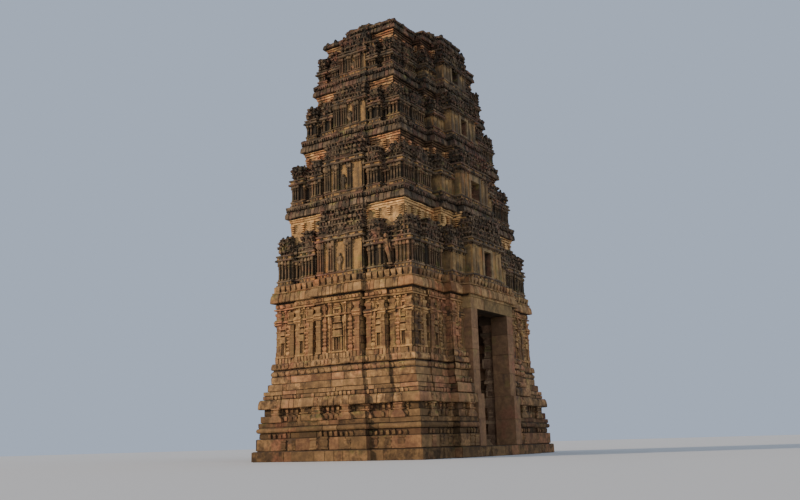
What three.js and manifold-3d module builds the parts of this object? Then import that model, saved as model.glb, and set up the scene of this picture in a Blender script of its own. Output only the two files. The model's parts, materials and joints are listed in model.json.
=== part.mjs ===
// Ruined gate tower of a south Indian temple, in millimetres, with +Z up.
// X runs along the two long faces, which hold the doorway, and the front face looks to -Y.
// The origin is on the ground, at the middle of the plan.
import * as THREE from 'three';
import { mergeVertices } from 'three/addons/utils/BufferGeometryUtils.js';
import Module from 'manifold-3d';

const wasm = await Module();
wasm.setup();

// Stone storey: the wall planes of its corner bays, from the middle of the plan.
const WALL_X = 5950;
const WALL_Y = 3865;
const RECESS = 250;

// Heights of the stone storey.
const PLINTH_TOP = 470;
const BASE_MIDDLE = 2840;
const WALL_FOOT = 4800;
const WALL_TOP = 7500;
const STONE_TOP = 8300;

// Bays of the long faces, as distances from the middle along X and how far they stand out.
const LONG_BAYS = {
  corner: { from: 4950, to: WALL_X, out: 0 },
  second: { from: 3350, to: 4720, out: 80 },
  inner: { from: 2200, to: 3300, out: 400 },
  portal: { from: 0, to: 2200, out: 800 },
};

// Bays of the short faces, along Y.
const SHORT_BAYS = {
  corner: { from: 2750, to: WALL_Y, out: 0 },
  second: { from: 1520, to: 2570, out: 120 },
  middle: { from: 0, to: 1240, out: 250 },
};

// Doorway and the passage behind it.
const DOOR_HALF = 1600;
const DOOR_HEAD = 6850;
const JAMB_OUTER = LONG_BAYS.portal.to;
const JAMB_FRONT = WALL_Y + LONG_BAYS.portal.out + 105;
const JAMB_FOOT_FRONT = JAMB_FRONT + 170;
const JAMB_BACK = 3900;
const HALL_HALF = 2550;
const HALL_CEILING = 7000;
const PIER_INNER = 1720;
const PIER_DEPTH = 620;

// Mouldings of the base, from the ground up: height range, and how far they stand out of the
// wall planes at the foot and at the head of the band.
const PLINTH_OUT = 800;
const LOWER_BASE = [
  { from: PLINTH_TOP, to: 1040, foot: 660, head: 660 },
  { from: 1040, to: 1330, foot: 560, head: 560 },
  { from: 1330, to: 1740, foot: 630, head: 600 },
  { from: 1740, to: 2080, foot: 520, head: 520 },
  { from: 2080, to: 2410, foot: 390, head: 390 },
  { from: 2410, to: BASE_MIDDLE, foot: 560, head: 450 },
];
const UPPER_BASE = [
  { from: BASE_MIDDLE, to: 3220, foot: 440, head: 400 },
  { from: 3220, to: 3570, foot: 290, head: 290 },
  { from: 3570, to: 3900, foot: 160, head: 160 },
  { from: 3900, to: 4200, foot: 200, head: 160 },
  { from: 4200, to: 4550, foot: 100, head: 100 },
  { from: 4550, to: WALL_FOOT, foot: 50, head: 50 },
];
const STONE_CORNICE = [
  { from: WALL_TOP, to: 7950, foot: 180, head: 90 },
  { from: 7950, to: STONE_TOP, foot: 130, head: 130 },
];

// Pilasters of the stone storey.
const PILASTER_WIDTH = 230;
const PILASTER_OUT = 70;
const ABACUS_FOOT = 6360;
const ABACUS_TOP = 6620;
const CORBEL_TOP = 6950;

// Niches of the stone storey.
const NICHE_WIDTH = 460;
const NICHE_SILL = 5050;
const NICHE_HEAD = 6150;
const NICHE_DEPTH = 160;

// The four brick tiers. Each one gives its heights: the floor, the top of the pavilion walls,
// the foot and the top of the pavilion roofs, and the foot and the top of the eave above.
// below and above are the half sizes of the eave it stands on and of its own eave.
const TIERS = [
  {
    name: 'tier_1', floor: STONE_TOP, wallTop: 9600, roofFoot: 9850, roofTop: 10850,
    eaveFoot: 11750, eaveTop: 12350, below: { x: 6125, y: 4045 }, above: { x: 5755, y: 3500 },
    portalPlane: 4650, thickness: 1100, window: { width: 730, sill: 8650, head: 9900 },
  },
  {
    name: 'tier_2', floor: 12350, wallTop: 13500, roofFoot: 13750, roofTop: 14550,
    eaveFoot: 15300, eaveTop: 15900, below: { x: 5755, y: 3500 }, above: { x: 5140, y: 3020 },
    portalPlane: 4150, thickness: 1000, window: { width: 930, sill: 12700, head: 13650 },
  },
  {
    name: 'tier_3', floor: 15900, wallTop: 16850, roofFoot: 17050, roofTop: 17750,
    eaveFoot: 18350, eaveTop: 18900, below: { x: 5140, y: 3020 }, above: { x: 4805, y: 2475 },
    portalPlane: 3650, thickness: 900, window: { width: 620, sill: 16300, head: 17150 },
  },
  {
    name: 'tier_4', floor: 18900, wallTop: 19550, roofFoot: 19750, roofTop: 20550,
    eaveFoot: 21200, eaveTop: 21650, below: { x: 4805, y: 2475 }, above: { x: 4235, y: 2205 },
    portalPlane: 3250, thickness: 800, window: { width: 630, sill: 19300, head: 20150 },
  },
];

// Stretches of the last eave that have lost their crest: plan limits and the height of the break.
const LOST_CREST = [
  { area: rect(-9000, -3500, 800, 9000), foot: 21470 },
  { area: rect(-9000, 9000, 1500, 9000), foot: 21470 },
  { area: rect(700, 9000, -9000, -2650), foot: 21400 },
];

// Bays of a tier, as fractions of its half length and half depth.
const TIER_LONG = { corner: 0.835, secondTo: 0.797, secondFrom: 0.565, inner: 0.49, portal: 0.27 };
const TIER_SHORT = { corner: 0.81, secondTo: 0.61, secondFrom: 0.42, middle: 0.325 };
const PAVILION_SETBACK = 220;
const CORE_SETBACK = 200;
const FOOT_HEIGHT = 320;
const FOOT_OUT = 60;
const ROOF_EAVE_OUT = 120;
const TALL_BAY_EXTRA = 550;

// Window frames of the tiers.
const FRAME_BORDER = 190;
const FRAME_LINTEL = 330;
const FRAME_SILL = 120;
const FRAME_DEPTH = 420;
const FRAME_PROUD = 50;

// Broken brick top.
const BREAK_FOOT = TIERS[3].eaveTop;
const FAR = 20000;

const COLOURS = {
  sandstone: 0x9c7a54,
  jamb: 0x7d5a44,
  lintel: 0xb0946a,
  passage: 0x6a5644,
  render: 0x5f5a4a,
  eave: 0x4d483e,
  brick: 0x8c5f45,
  frame: 0xa8956c,
};

function material(name) {
  return new THREE.MeshStandardMaterial({ color: COLOURS[name], roughness: 0.9, metalness: 0 });
}

// A closed three.js geometry as a solid that can be joined and cut.
function solidOf(geometry) {
  geometry.deleteAttribute('normal');
  geometry.deleteAttribute('uv');
  const merged = mergeVertices(geometry, 0.001);
  return new wasm.Manifold(new wasm.Mesh({
    numProp: 3,
    vertProperties: new Float32Array(merged.attributes.position.array),
    triVerts: new Uint32Array(merged.index.array),
  }));
}

function geometryOf(solid) {
  const mesh = solid.getMesh();
  const geometry = new THREE.BufferGeometry();
  const positions = new Float32Array(mesh.vertProperties);
  geometry.setAttribute('position', new THREE.BufferAttribute(positions, mesh.numProp));
  geometry.setIndex(new THREE.BufferAttribute(new Uint32Array(mesh.triVerts), 1));
  geometry.computeVertexNormals();
  return geometry;
}

function joined(solids) {
  return solids.reduce((sum, solid) => sum.add(solid));
}

// A rectangle of the plan.
function rect(x0, x1, y0, y1) {
  return { x0, x1, y0, y1 };
}

// A rectangle centred on the middle of the plan.
function centred(halfX, halfY) {
  return rect(-halfX, halfX, -halfY, halfY);
}

function mirroredX(area) {
  return rect(-area.x1, -area.x0, area.y0, area.y1);
}

function mirroredY(area) {
  return rect(area.x0, area.x1, -area.y1, -area.y0);
}

// A rectangle and its mirror images across both middle planes.
function fourTimes(area) {
  return [area, mirroredX(area), mirroredY(area), mirroredX(mirroredY(area))];
}

// A block over a rectangle that is grown by one amount at its foot and another at its head.
function block(area, foot, head, growFoot = 0, growHead = growFoot) {
  const lengthX = area.x1 - area.x0;
  const lengthY = area.y1 - area.y0;
  const geometry = new THREE.BoxGeometry(1, 1, 1);
  const position = geometry.attributes.position;
  for (let i = 0; i < position.count; i += 1) {
    const grow = position.getZ(i) > 0 ? growHead : growFoot;
    const x = (area.x0 + area.x1) / 2 + position.getX(i) * (lengthX + 2 * grow);
    const y = (area.y0 + area.y1) / 2 + position.getY(i) * (lengthY + 2 * grow);
    position.setXYZ(i, x, y, position.getZ(i) > 0 ? head : foot);
  }
  return solidOf(geometry);
}

// One moulding that follows every rectangle of a plan.
function moulding(plan, band) {
  return joined(plan.map((area) => block(area, band.from, band.to, band.foot, band.head)));
}

// A half-round vault: an arch of the given half span and height, carried along X or Y.
const ARCH_STEPS = 6;
function vault(along, from, to, middle, halfSpan, foot, height) {
  const outline = [];
  for (let i = 0; i <= ARCH_STEPS; i += 1) {
    const angle = (Math.PI * i) / ARCH_STEPS;
    outline.push(new THREE.Vector2(halfSpan * Math.cos(angle), height * Math.sin(angle)));
  }
  const arch = new THREE.Shape(outline);
  const geometry = new THREE.ExtrudeGeometry(arch, { depth: to - from, bevelEnabled: false });
  const alongX = new THREE.Vector3(1, 0, 0);
  const alongY = new THREE.Vector3(0, 1, 0);
  const up = new THREE.Vector3(0, 0, 1);
  const frame = new THREE.Matrix4();
  if (along === 'x') {
    frame.makeBasis(alongY, up, alongX).setPosition(from, middle, foot);
  } else {
    frame.makeBasis(alongX.clone().negate(), up, alongY).setPosition(middle, from, foot);
  }
  return solidOf(geometry.applyMatrix4(frame));
}

// A square domed roof: a neck, then a dome that overhangs it and closes towards the top.
const DOME_NECK = 0.28;
function dome(area, foot, top) {
  const height = top - foot;
  const half = Math.min(area.x1 - area.x0, area.y1 - area.y0) / 2;
  const rings = [
    { at: DOME_NECK, grow: -0.04 }, { at: 0.6, grow: -0.06 },
    { at: 0.85, grow: -0.38 }, { at: 1, grow: -0.8 },
  ];
  const slices = rings.slice(1).map((ring, i) => block(
    area, foot + rings[i].at * height, foot + ring.at * height, rings[i].grow * half, ring.grow * half,
  ));
  return joined([block(area, foot, foot + DOME_NECK * height, -0.22 * half), ...slices]);
}

// The bays that project from all four faces of the stone storey.
function projectingBays() {
  const { inner } = LONG_BAYS;
  const { middle } = SHORT_BAYS;
  return [
    centred(inner.to, WALL_Y + inner.out),
    centred(WALL_X + middle.out, middle.to),
  ];
}

// Plan of the heavy mouldings, which close the recesses between the bays.
function closedPlan() {
  return [centred(WALL_X, WALL_Y), ...projectingBays()];
}

// Plan of the cornice, which also steps out over the plain jambs of the doorway.
function cornicePlan() {
  const { portal } = LONG_BAYS;
  return [...closedPlan(), centred(portal.to, WALL_Y + portal.out)];
}

// Plan of the wall, with a recess between the bays.
function recessedPlan() {
  const { corner, second } = LONG_BAYS;
  const sides = SHORT_BAYS;
  const secondBay = rect(second.from, second.to, -WALL_Y - second.out, WALL_Y + second.out);
  const sideBay = rect(-WALL_X - sides.second.out, WALL_X + sides.second.out,
    sides.second.from, sides.second.to);
  return [
    centred(WALL_X - RECESS, WALL_Y - RECESS),
    ...fourTimes(rect(corner.from, corner.to, sides.corner.from, sides.corner.to)),
    secondBay, mirroredX(secondBay), sideBay, mirroredY(sideBay),
    ...projectingBays(),
  ];
}

// Everything that the doorways, the passage and their own stones take out of the masonry.
function passageSpace() {
  return joined([
    block(centred(JAMB_OUTER, FAR), PLINTH_TOP, WALL_TOP),
    block(centred(HALL_HALF, JAMB_BACK), PLINTH_TOP, WALL_TOP),
  ]);
}

// One pilaster with its shaft and abacus, on a wall that looks along X or Y.
function pilaster(place, plane, looksAlong) {
  const stages = [
    { from: WALL_FOOT, to: CORBEL_TOP, half: PILASTER_WIDTH / 2, out: PILASTER_OUT },
    { from: ABACUS_FOOT, to: ABACUS_TOP, half: PILASTER_WIDTH / 2 + 90, out: PILASTER_OUT + 70 },
  ];
  const inside = 120;
  return joined(stages.map((stage) => {
    const area = looksAlong === 'y'
      ? rect(place - stage.half, place + stage.half, plane - inside, plane + stage.out)
      : rect(plane - inside, plane + stage.out, place - stage.half, place + stage.half);
    return joined(fourTimes(area).map((each) => block(each, stage.from, stage.to)));
  }));
}

function stonePilasters() {
  const inset = PILASTER_WIDTH / 2 + 30;
  const solids = [];
  const { corner, second, inner } = LONG_BAYS;
  for (const bay of [corner, second, inner]) {
    const near = bay === inner ? bay.from + 2 * inset : bay.from + inset;
    solids.push(pilaster(near, WALL_Y + bay.out, 'y'));
    solids.push(pilaster(bay.to - inset, WALL_Y + bay.out, 'y'));
  }
  for (const bay of [SHORT_BAYS.corner, SHORT_BAYS.second]) {
    solids.push(pilaster(bay.from + inset, WALL_X + bay.out, 'x'));
    solids.push(pilaster(bay.to - inset, WALL_X + bay.out, 'x'));
  }
  solids.push(pilaster(SHORT_BAYS.middle.to - inset, WALL_X + SHORT_BAYS.middle.out, 'x'));
  return joined(solids);
}

function stoneNiches() {
  const half = NICHE_WIDTH / 2;
  const { second } = LONG_BAYS;
  const longMiddle = (second.from + second.to) / 2;
  const longPlane = WALL_Y + second.out;
  const shortPlane = WALL_X + SHORT_BAYS.middle.out;
  const areas = [
    ...fourTimes(rect(longMiddle - half, longMiddle + half, longPlane - NICHE_DEPTH, longPlane + 1)),
    rect(shortPlane - NICHE_DEPTH, shortPlane + 1, -half, half),
    rect(-shortPlane - 1, -shortPlane + NICHE_DEPTH, -half, half),
  ];
  return joined(areas.map((area) => block(area, NICHE_SILL, NICHE_HEAD)));
}

// The whole solid on one side of the middle plane.
function sideOf(solid, direction) {
  const area = direction < 0 ? rect(-FAR, 0, -FAR, FAR) : rect(0, FAR, -FAR, FAR);
  return solid.intersect(block(area, -FAR, 2 * FAR));
}

const tower = new THREE.Group();

function addMesh(name, solid, look) {
  const mesh = new THREE.Mesh(geometryOf(solid), material(look));
  mesh.name = name;
  tower.add(mesh);
}

function addBothSides(name, solid, look) {
  addMesh(`${name}_left`, sideOf(solid, -1), look);
  addMesh(`${name}_right`, sideOf(solid, 1), look);
}

function addStoneStorey() {
  const closed = closedPlan();
  const recessed = recessedPlan();
  const space = passageSpace();
  const bands = (plan, list) => joined(list.map((band) => moulding(plan, band)));
  addMesh('plinth_slab', moulding(closed, {
    from: 0, to: PLINTH_TOP, foot: PLINTH_OUT, head: PLINTH_OUT,
  }), 'sandstone');
  addBothSides('lower_base', bands(closed, LOWER_BASE).subtract(space), 'sandstone');
  addBothSides('upper_base', bands(recessed, UPPER_BASE).subtract(space), 'sandstone');
  const wall = moulding(recessed, { from: WALL_FOOT, to: WALL_TOP, foot: 0, head: 0 });
  const dressed = wall.add(stonePilasters()).subtract(stoneNiches()).subtract(space);
  addBothSides('pilaster_wall', dressed, 'sandstone');
  addMesh('stone_cornice', bands(cornicePlan(), STONE_CORNICE), 'sandstone');
}

// Jambs, lintels, passage piers and ceiling.
function addDoorways() {
  const jamb = rect(DOOR_HALF, JAMB_OUTER, JAMB_BACK, JAMB_FRONT);
  const pierArea = rect(PIER_INNER, HALL_HALF, JAMB_BACK - PIER_DEPTH, JAMB_BACK);
  const corners = ['back_right', 'back_left', 'front_right', 'front_left'];
  const jambs = fourTimes(jamb);
  const jambFeet = fourTimes(rect(DOOR_HALF, JAMB_OUTER, JAMB_BACK, JAMB_FOOT_FRONT));
  const piers = fourTimes(pierArea);
  const pierStages = [
    { from: PLINTH_TOP, to: 950, grow: 0 },
    { from: 950, to: 2300, grow: -60 },
    { from: 2300, to: 2750, grow: -10 },
    { from: 2750, to: 4300, grow: -90 },
    { from: 4300, to: 4750, grow: -10 },
    { from: 4750, to: 6000, grow: -90 },
    { from: 6000, to: 6400, grow: -30 },
    { from: 6400, to: HALL_CEILING, grow: 0 },
  ];
  corners.forEach((corner, i) => {
    addMesh(`door_jamb_${corner}`, joined([
      block(jambFeet[i], PLINTH_TOP, BASE_MIDDLE),
      block(jambs[i], BASE_MIDDLE, DOOR_HEAD),
    ]), 'jamb');
    const stages = pierStages.map((stage) => block(piers[i], stage.from, stage.to, stage.grow));
    addMesh(`passage_pier_${corner}`, joined(stages), 'passage');
  });
  const lintel = rect(-JAMB_OUTER, JAMB_OUTER, JAMB_BACK, JAMB_FRONT);
  addMesh('door_lintel_back', block(lintel, DOOR_HEAD, WALL_TOP), 'lintel');
  addMesh('door_lintel_front', block(mirroredY(lintel), DOOR_HEAD, WALL_TOP), 'lintel');
  addMesh('passage_ceiling', block(centred(HALL_HALF, JAMB_BACK), HALL_CEILING, WALL_TOP), 'passage');
}

// The wall planes and bay limits of a tier, worked out from its two eaves.
function tierLayout(tier) {
  const planeX = tier.below.x - PAVILION_SETBACK;
  const planeY = tier.below.y - PAVILION_SETBACK;
  const coreX = tier.above.x - CORE_SETBACK;
  const coreY = tier.above.y - CORE_SETBACK;
  return {
    planeX,
    planeY,
    coreX,
    coreY,
    innerPlane: (planeY + tier.portalPlane) / 2,
    innerHalf: TIER_LONG.inner * planeX,
    portalHalf: TIER_LONG.portal * planeX,
    middleHalf: TIER_SHORT.middle * planeY,
    roomX: coreX - tier.thickness,
    roomY: coreY - tier.thickness,
  };
}

// A pavilion: a foot moulding, a wall, a small eave and the given roof.
function pavilion(area, tier, wallTop, roofFoot, roof) {
  return joined([
    block(area, tier.floor, tier.floor + FOOT_HEIGHT, FOOT_OUT),
    block(area, tier.floor, roofFoot),
    block(area, wallTop, roofFoot, ROOF_EAVE_OUT, ROOF_EAVE_OUT / 2),
    roof,
  ]);
}

function cornerPavilions(tier, layout) {
  const area = rect(TIER_LONG.corner * layout.planeX, layout.planeX,
    TIER_SHORT.corner * layout.planeY, layout.planeY);
  return fourTimes(area).map((each) => pavilion(
    each, tier, tier.wallTop, tier.roofFoot, dome(each, tier.roofFoot, tier.roofTop),
  ));
}

// Narrow pavilions with an arched gable that looks out of the wall.
function secondPavilions(tier, layout) {
  const { planeX, planeY, coreX, coreY } = layout;
  const height = tier.roofTop - tier.roofFoot;
  const solids = [];
  const long = rect(TIER_LONG.secondFrom * planeX, TIER_LONG.secondTo * planeX,
    coreY - RECESS, planeY + 60);
  for (const each of fourTimes(long)) {
    const half = (each.x1 - each.x0) / 2;
    const roof = vault('y', each.y0, each.y1, (each.x0 + each.x1) / 2, half, tier.roofFoot, height);
    solids.push(pavilion(each, tier, tier.wallTop, tier.roofFoot, roof));
  }
  const short = rect(coreX - RECESS, planeX + 40,
    TIER_SHORT.secondFrom * planeY, TIER_SHORT.secondTo * planeY);
  for (const each of fourTimes(short)) {
    const half = (each.y1 - each.y0) / 2;
    const roof = vault('x', each.x0, each.x1, (each.y0 + each.y1) / 2, half, tier.roofFoot, height);
    solids.push(pavilion(each, tier, tier.wallTop, tier.roofFoot, roof));
  }
  return solids;
}

// Wide pavilions with a wagon roof. Those in the middle of each face are taller, and their
// roofs reach the eave above.
const WAGON_HALF_SPAN = 620;
function widePavilions(tier, layout) {
  const { planeX, innerPlane, innerHalf, portalHalf, middleHalf } = layout;
  const height = tier.roofTop - tier.roofFoot;
  const tallWallTop = tier.wallTop + TALL_BAY_EXTRA;
  const tallRoofFoot = tier.roofFoot + TALL_BAY_EXTRA;
  const tallHeight = tier.eaveFoot - tallRoofFoot;
  const solids = [];
  for (const side of [-1, 1]) {
    const face = (plane) => (side < 0 ? [-plane, 0] : [0, plane]);
    const inner = rect(-innerHalf, innerHalf, ...face(innerPlane));
    const innerRoof = vault('x', -innerHalf, innerHalf, side * (innerPlane - WAGON_HALF_SPAN),
      WAGON_HALF_SPAN, tier.roofFoot, height);
    solids.push(pavilion(inner, tier, tier.wallTop, tier.roofFoot, innerRoof));
    const portal = rect(-portalHalf, portalHalf, ...face(tier.portalPlane));
    const portalRoof = vault('x', -portalHalf, portalHalf,
      side * (tier.portalPlane - WAGON_HALF_SPAN), WAGON_HALF_SPAN, tallRoofFoot, tallHeight);
    solids.push(pavilion(portal, tier, tallWallTop, tallRoofFoot, portalRoof));
    const outer = planeX + 100;
    const middle = side < 0 ? rect(-outer, 0, -middleHalf, middleHalf)
      : rect(0, outer, -middleHalf, middleHalf);
    const middleRoof = vault('y', -middleHalf, middleHalf, side * (outer - WAGON_HALF_SPAN),
      WAGON_HALF_SPAN, tallRoofFoot, tallHeight);
    solids.push(pavilion(middle, tier, tallWallTop, tallRoofFoot, middleRoof));
  }
  return solids;
}

// The wall behind the pavilions, which carries the eave.
function tierCore(tier, layout) {
  const { coreX, coreY, planeY, innerHalf, portalHalf, innerPlane } = layout;
  const areas = [
    centred(coreX, coreY),
    centred(innerHalf, coreY + innerPlane - planeY),
    centred(portalHalf, coreY + tier.portalPlane - planeY),
  ];
  return areas.map((area) => block(area, tier.floor, tier.eaveFoot));
}

function tierEave(tier, layout) {
  const { planeX, planeY, innerHalf, portalHalf, middleHalf, innerPlane } = layout;
  const { x, y } = tier.above;
  const plan = [
    centred(x, y),
    centred(innerHalf, y + innerPlane - planeY),
    centred(portalHalf, y + tier.portalPlane - planeY),
    centred(x + 80, middleHalf * (x / planeX)),
  ];
  const crest = tier.eaveFoot + 0.6 * (tier.eaveTop - tier.eaveFoot);
  let eave = joined([
    moulding(plan, { from: tier.eaveFoot, to: crest, foot: 0, head: -90 }),
    moulding(plan, { from: crest, to: tier.eaveTop, foot: -40, head: -40 }),
  ]);
  for (const lost of LOST_CREST) {
    eave = eave.subtract(block(lost.area, lost.foot, lost.foot + 1000));
  }
  return eave;
}

// Outer block and inner space of a window frame on the back face.
function frameBlocks(tier) {
  const { width, sill, head } = tier.window;
  const outerHalf = width / 2 + FRAME_BORDER;
  const faceY = tier.portalPlane + FRAME_PROUD;
  const outer = rect(-outerHalf, outerHalf, faceY - FRAME_DEPTH, faceY);
  return { outer, foot: sill - FRAME_SILL, head: head + FRAME_LINTEL };
}

function addTier(tier) {
  const layout = tierLayout(tier);
  const { roomX, roomY, planeY } = layout;
  const { width, sill, head } = tier.window;
  const windowSpace = block(centred(width / 2, FAR), sill, head);
  const frame = frameBlocks(tier);
  const frames = [frame.outer, mirroredY(frame.outer)];
  let walls = joined([
    ...tierCore(tier, layout),
    ...cornerPavilions(tier, layout),
    ...secondPavilions(tier, layout),
    ...widePavilions(tier, layout),
  ]);
  walls = walls.subtract(block(centred(roomX, roomY), tier.floor, tier.eaveFoot));
  walls = walls.subtract(windowSpace);
  for (const area of frames) {
    walls = walls.subtract(block(area, frame.foot, frame.head));
  }
  const split = (TIER_SHORT.corner + TIER_SHORT.secondTo) / 2 * planeY;
  const endBlock = block(rect(roomX, FAR, -split, split), 0, 2 * FAR);
  const otherEnd = block(rect(-FAR, -roomX, -split, split), 0, 2 * FAR);
  const longWalls = walls.subtract(endBlock).subtract(otherEnd);
  const frontHalf = block(rect(-FAR, FAR, -FAR, 0), 0, 2 * FAR);
  addMesh(`${tier.name}_front_wall`, longWalls.intersect(frontHalf), 'render');
  addMesh(`${tier.name}_back_wall`, longWalls.subtract(frontHalf), 'render');
  addMesh(`${tier.name}_left_wall`, walls.intersect(otherEnd), 'render');
  addMesh(`${tier.name}_right_wall`, walls.intersect(endBlock), 'render');
  const names = ['back', 'front'];
  frames.forEach((area, i) => {
    const ring = block(area, frame.foot, frame.head).subtract(windowSpace);
    addMesh(`${tier.name}_window_frame_${names[i]}`, ring, 'frame');
  });
  addMesh(`${tier.name}_eave`, tierEave(tier, layout), 'eave');
}

// What is left of the brickwork above the last eave: a few broken courses.
function addBrokenTop() {
  const courses = [
    { area: rect(-3500, 3300, -1500, 1450), top: 180 },
    { area: rect(-2900, 2100, -1250, 1200), top: 330 },
    { area: rect(-1500, 700, -2650, -1000), top: 240 },
    { area: rect(-1100, 500, -2350, -600), top: 380 },
    { area: rect(-4000, -2600, -700, 800), top: 260 },
  ];
  const solids = courses.map((course) => block(
    course.area, BREAK_FOOT, BREAK_FOOT + course.top, 0, -course.top / 3,
  ));
  addMesh('broken_brick_top', joined(solids), 'brick');
}

addStoneStorey();
addDoorways();
TIERS.forEach(addTier);
addBrokenTop();

export default tower;
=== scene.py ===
"""Dresses the ruined gate tower: laid stone, carved bays, plastered brick tiers and a broken top."""

import json
import math
from itertools import pairwise

import bpy
import numpy as np
from bpy.props import FloatProperty, FloatVectorProperty, IntProperty, PointerProperty
from bpy.types import Operator, Panel, PropertyGroup
from mathutils import Matrix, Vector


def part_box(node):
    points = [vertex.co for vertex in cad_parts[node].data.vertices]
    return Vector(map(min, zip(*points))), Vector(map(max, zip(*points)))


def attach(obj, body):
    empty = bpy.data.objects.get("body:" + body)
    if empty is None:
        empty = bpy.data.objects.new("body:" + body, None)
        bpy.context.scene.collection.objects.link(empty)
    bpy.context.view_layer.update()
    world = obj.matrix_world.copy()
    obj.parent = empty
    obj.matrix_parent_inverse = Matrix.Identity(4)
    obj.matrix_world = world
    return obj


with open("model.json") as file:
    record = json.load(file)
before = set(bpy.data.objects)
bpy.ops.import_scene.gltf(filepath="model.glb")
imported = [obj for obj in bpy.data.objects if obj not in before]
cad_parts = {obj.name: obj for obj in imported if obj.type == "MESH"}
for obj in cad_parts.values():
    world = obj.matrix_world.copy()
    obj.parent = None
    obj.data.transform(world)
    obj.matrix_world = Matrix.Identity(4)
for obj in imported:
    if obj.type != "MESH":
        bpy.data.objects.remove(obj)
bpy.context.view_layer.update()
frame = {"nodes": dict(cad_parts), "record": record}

bl_info = {
    "name": "Ruined gate tower",
    "version": (1, 0, 0),
    "blender": (4, 5, 0),
    "location": "3D View > Sidebar > Gate tower",
    "description": "Builds the stonework, brick tiers and finishes of a ruined temple gate tower",
    "category": "Add Mesh",
}

# Stone storey, in metres from the middle of the plan. A second bay is (from, to, how far it stands
# out), and the others in brackets are (half width, how far it stands out).
WALL_X = 5.95
WALL_Y = 3.865
RECESS = 0.25
LONG_CORNER = 4.95
LONG_SECOND = (3.35, 4.72, 0.08)
LONG_INNER = (3.3, 0.4)
LONG_PORTAL = (2.2, 0.8)
SHORT_CORNER = 2.75
SHORT_SECOND = (1.52, 2.57, 0.12)
SHORT_MIDDLE = (1.24, 0.25)
PLINTH_TOP = 0.47
WALL_FOOT = 4.8
LEDGE_TOP = 6.57
WALL_TOP = 7.5
STONE_TOP = 8.3
DOOR_HALF = 1.6
DOOR_HEAD = 6.85
JAMB_OUTER = 2.2
JAMB_BACK = 3.9
JAMB_FRONT = 4.77
JAMB_FOOT_FRONT = 4.94
JAMB_STEP = 2.84
HALL_HALF = 2.55
HALL_CEILING = 7.0
DARKENING_FROM = 3.2
INNER_Y = WALL_Y + LONG_INNER[1]
PORTAL_Y = WALL_Y + LONG_PORTAL[1]
MIDDLE_X = WALL_X + SHORT_MIDDLE[1]
SHORTEST_BAY = 0.9
BROAD_BAY = 2.0

# Piers of the hall: how far in from its ends, their size, and how far out their carving begins.
PIER_INSET = 0.36
PIER_SIZE = (0.86, 0.92, 1.0)
PIER_FACE = 0.66

# How deep the courses are bedded behind the face of the wall: stone storey, and brick tiers.
STONE_BED = 0.25
TIER_BED = 0.12

# A course lower than this has plain ends, and one lower than the second height has plain edges too.
CHAMFERED_FROM = 0.18
BEVELLED_FROM = 0.13
CHAMFER = 0.012
SHORTEST_COURSE = 0.03

# Gaps in a row of carving come in waves of this many radians to the metre.
GAP_WAVE = 2.3

# An edge that turns by more than this stays sharp in the smooth shading.
SHARP_ANGLE = math.radians(32)

# How dark an edge lies for each inner corner that it ends at.
CORNER_SHADE = 0.45

# Bays of a tier, as fractions of its half length and half depth.
TIER_LONG = {"corner": 0.835, "second_to": 0.797, "second_from": 0.565, "inner": 0.49, "portal": 0.27}
TIER_SHORT = {"corner": 0.81, "second_to": 0.61, "second_from": 0.42, "middle": 0.325}
PAVILION_SETBACK = 0.22
CORE_SETBACK = 0.2
LINK_SETBACK = 0.2
LINK_DROP = 0.12
LINK_ROOF_DROP = 0.38
SECOND_PROUD = 0.06
SHORT_PROUD = 0.04
MIDDLE_PROUD = 0.1
WIDE_BAY_BED = 0.1
TIER_FOOT = 0.32
TALL_BAY_EXTRA = 0.55
WAGON_HALF_SPAN = 0.62
ROOF_BAND = 0.26
LINING_DEPTH = 0.7
LINING_WEAR = 0.003

# The stage: where the camera stands, its turn, tilt and roll, and the floor.
CAMERA_PLACE = (-37.28, -23.37, 0.65)
CAMERA_ANGLES = tuple(math.radians(angle) for angle in (32.63, 12.88, 1.58))
SENSOR_WIDTH = 36.0
VIEW_REACH = 500.0
FLOOR_REACH = 400.0
FLOOR_DROP = 0.002
SKY_COLOUR = (0.6, 0.71, 0.9, 1.0)
SKY_STRENGTH = 0.71
UP = np.array([0.0, 0.0, 1.0])

# Lamps: name, the way that the light goes, strength, colour and spread.
SUNS = [
    ("key", (1.0, -1.15, -0.52), 3.85, (1.0, 0.82, 0.61), math.radians(4)),
    ("fill", (0.5, 1.0, -0.35), 0.92, (0.82, 0.9, 1.0), math.radians(60)),
]


class Tier:
    """Heights and planes of one brick tier. Its pavilions stand back from the eave below and the
    wall behind them from its own eave above, both as (x, y). A window is (half width, sill, head)."""

    def __init__(self, number, wall_top, roof_foot, roof_top, below, above, portal_plane, window):
        low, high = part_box(f"tier_{number}_eave")
        self.name = f"tier_{number}"
        self.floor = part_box(f"tier_{number}_front_wall")[0][2]
        self.wall_top = wall_top
        self.roof_foot = roof_foot
        self.roof_top = roof_top
        self.eave_foot = low[2]
        self.eave_top = high[2]
        self.plane_x = below[0] - PAVILION_SETBACK
        self.plane_y = below[1] - PAVILION_SETBACK
        self.core_x = above[0] - CORE_SETBACK
        self.core_y = above[1] - CORE_SETBACK
        self.tip_x, self.tip_y = above
        self.portal_plane = portal_plane
        self.inner_plane = (self.plane_y + portal_plane) / 2
        self.inner_half = TIER_LONG["inner"] * self.plane_x
        self.portal_half = TIER_LONG["portal"] * self.plane_x
        self.middle_half = TIER_SHORT["middle"] * self.plane_y
        self.window_half, self.window_sill, self.window_head = window


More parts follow.
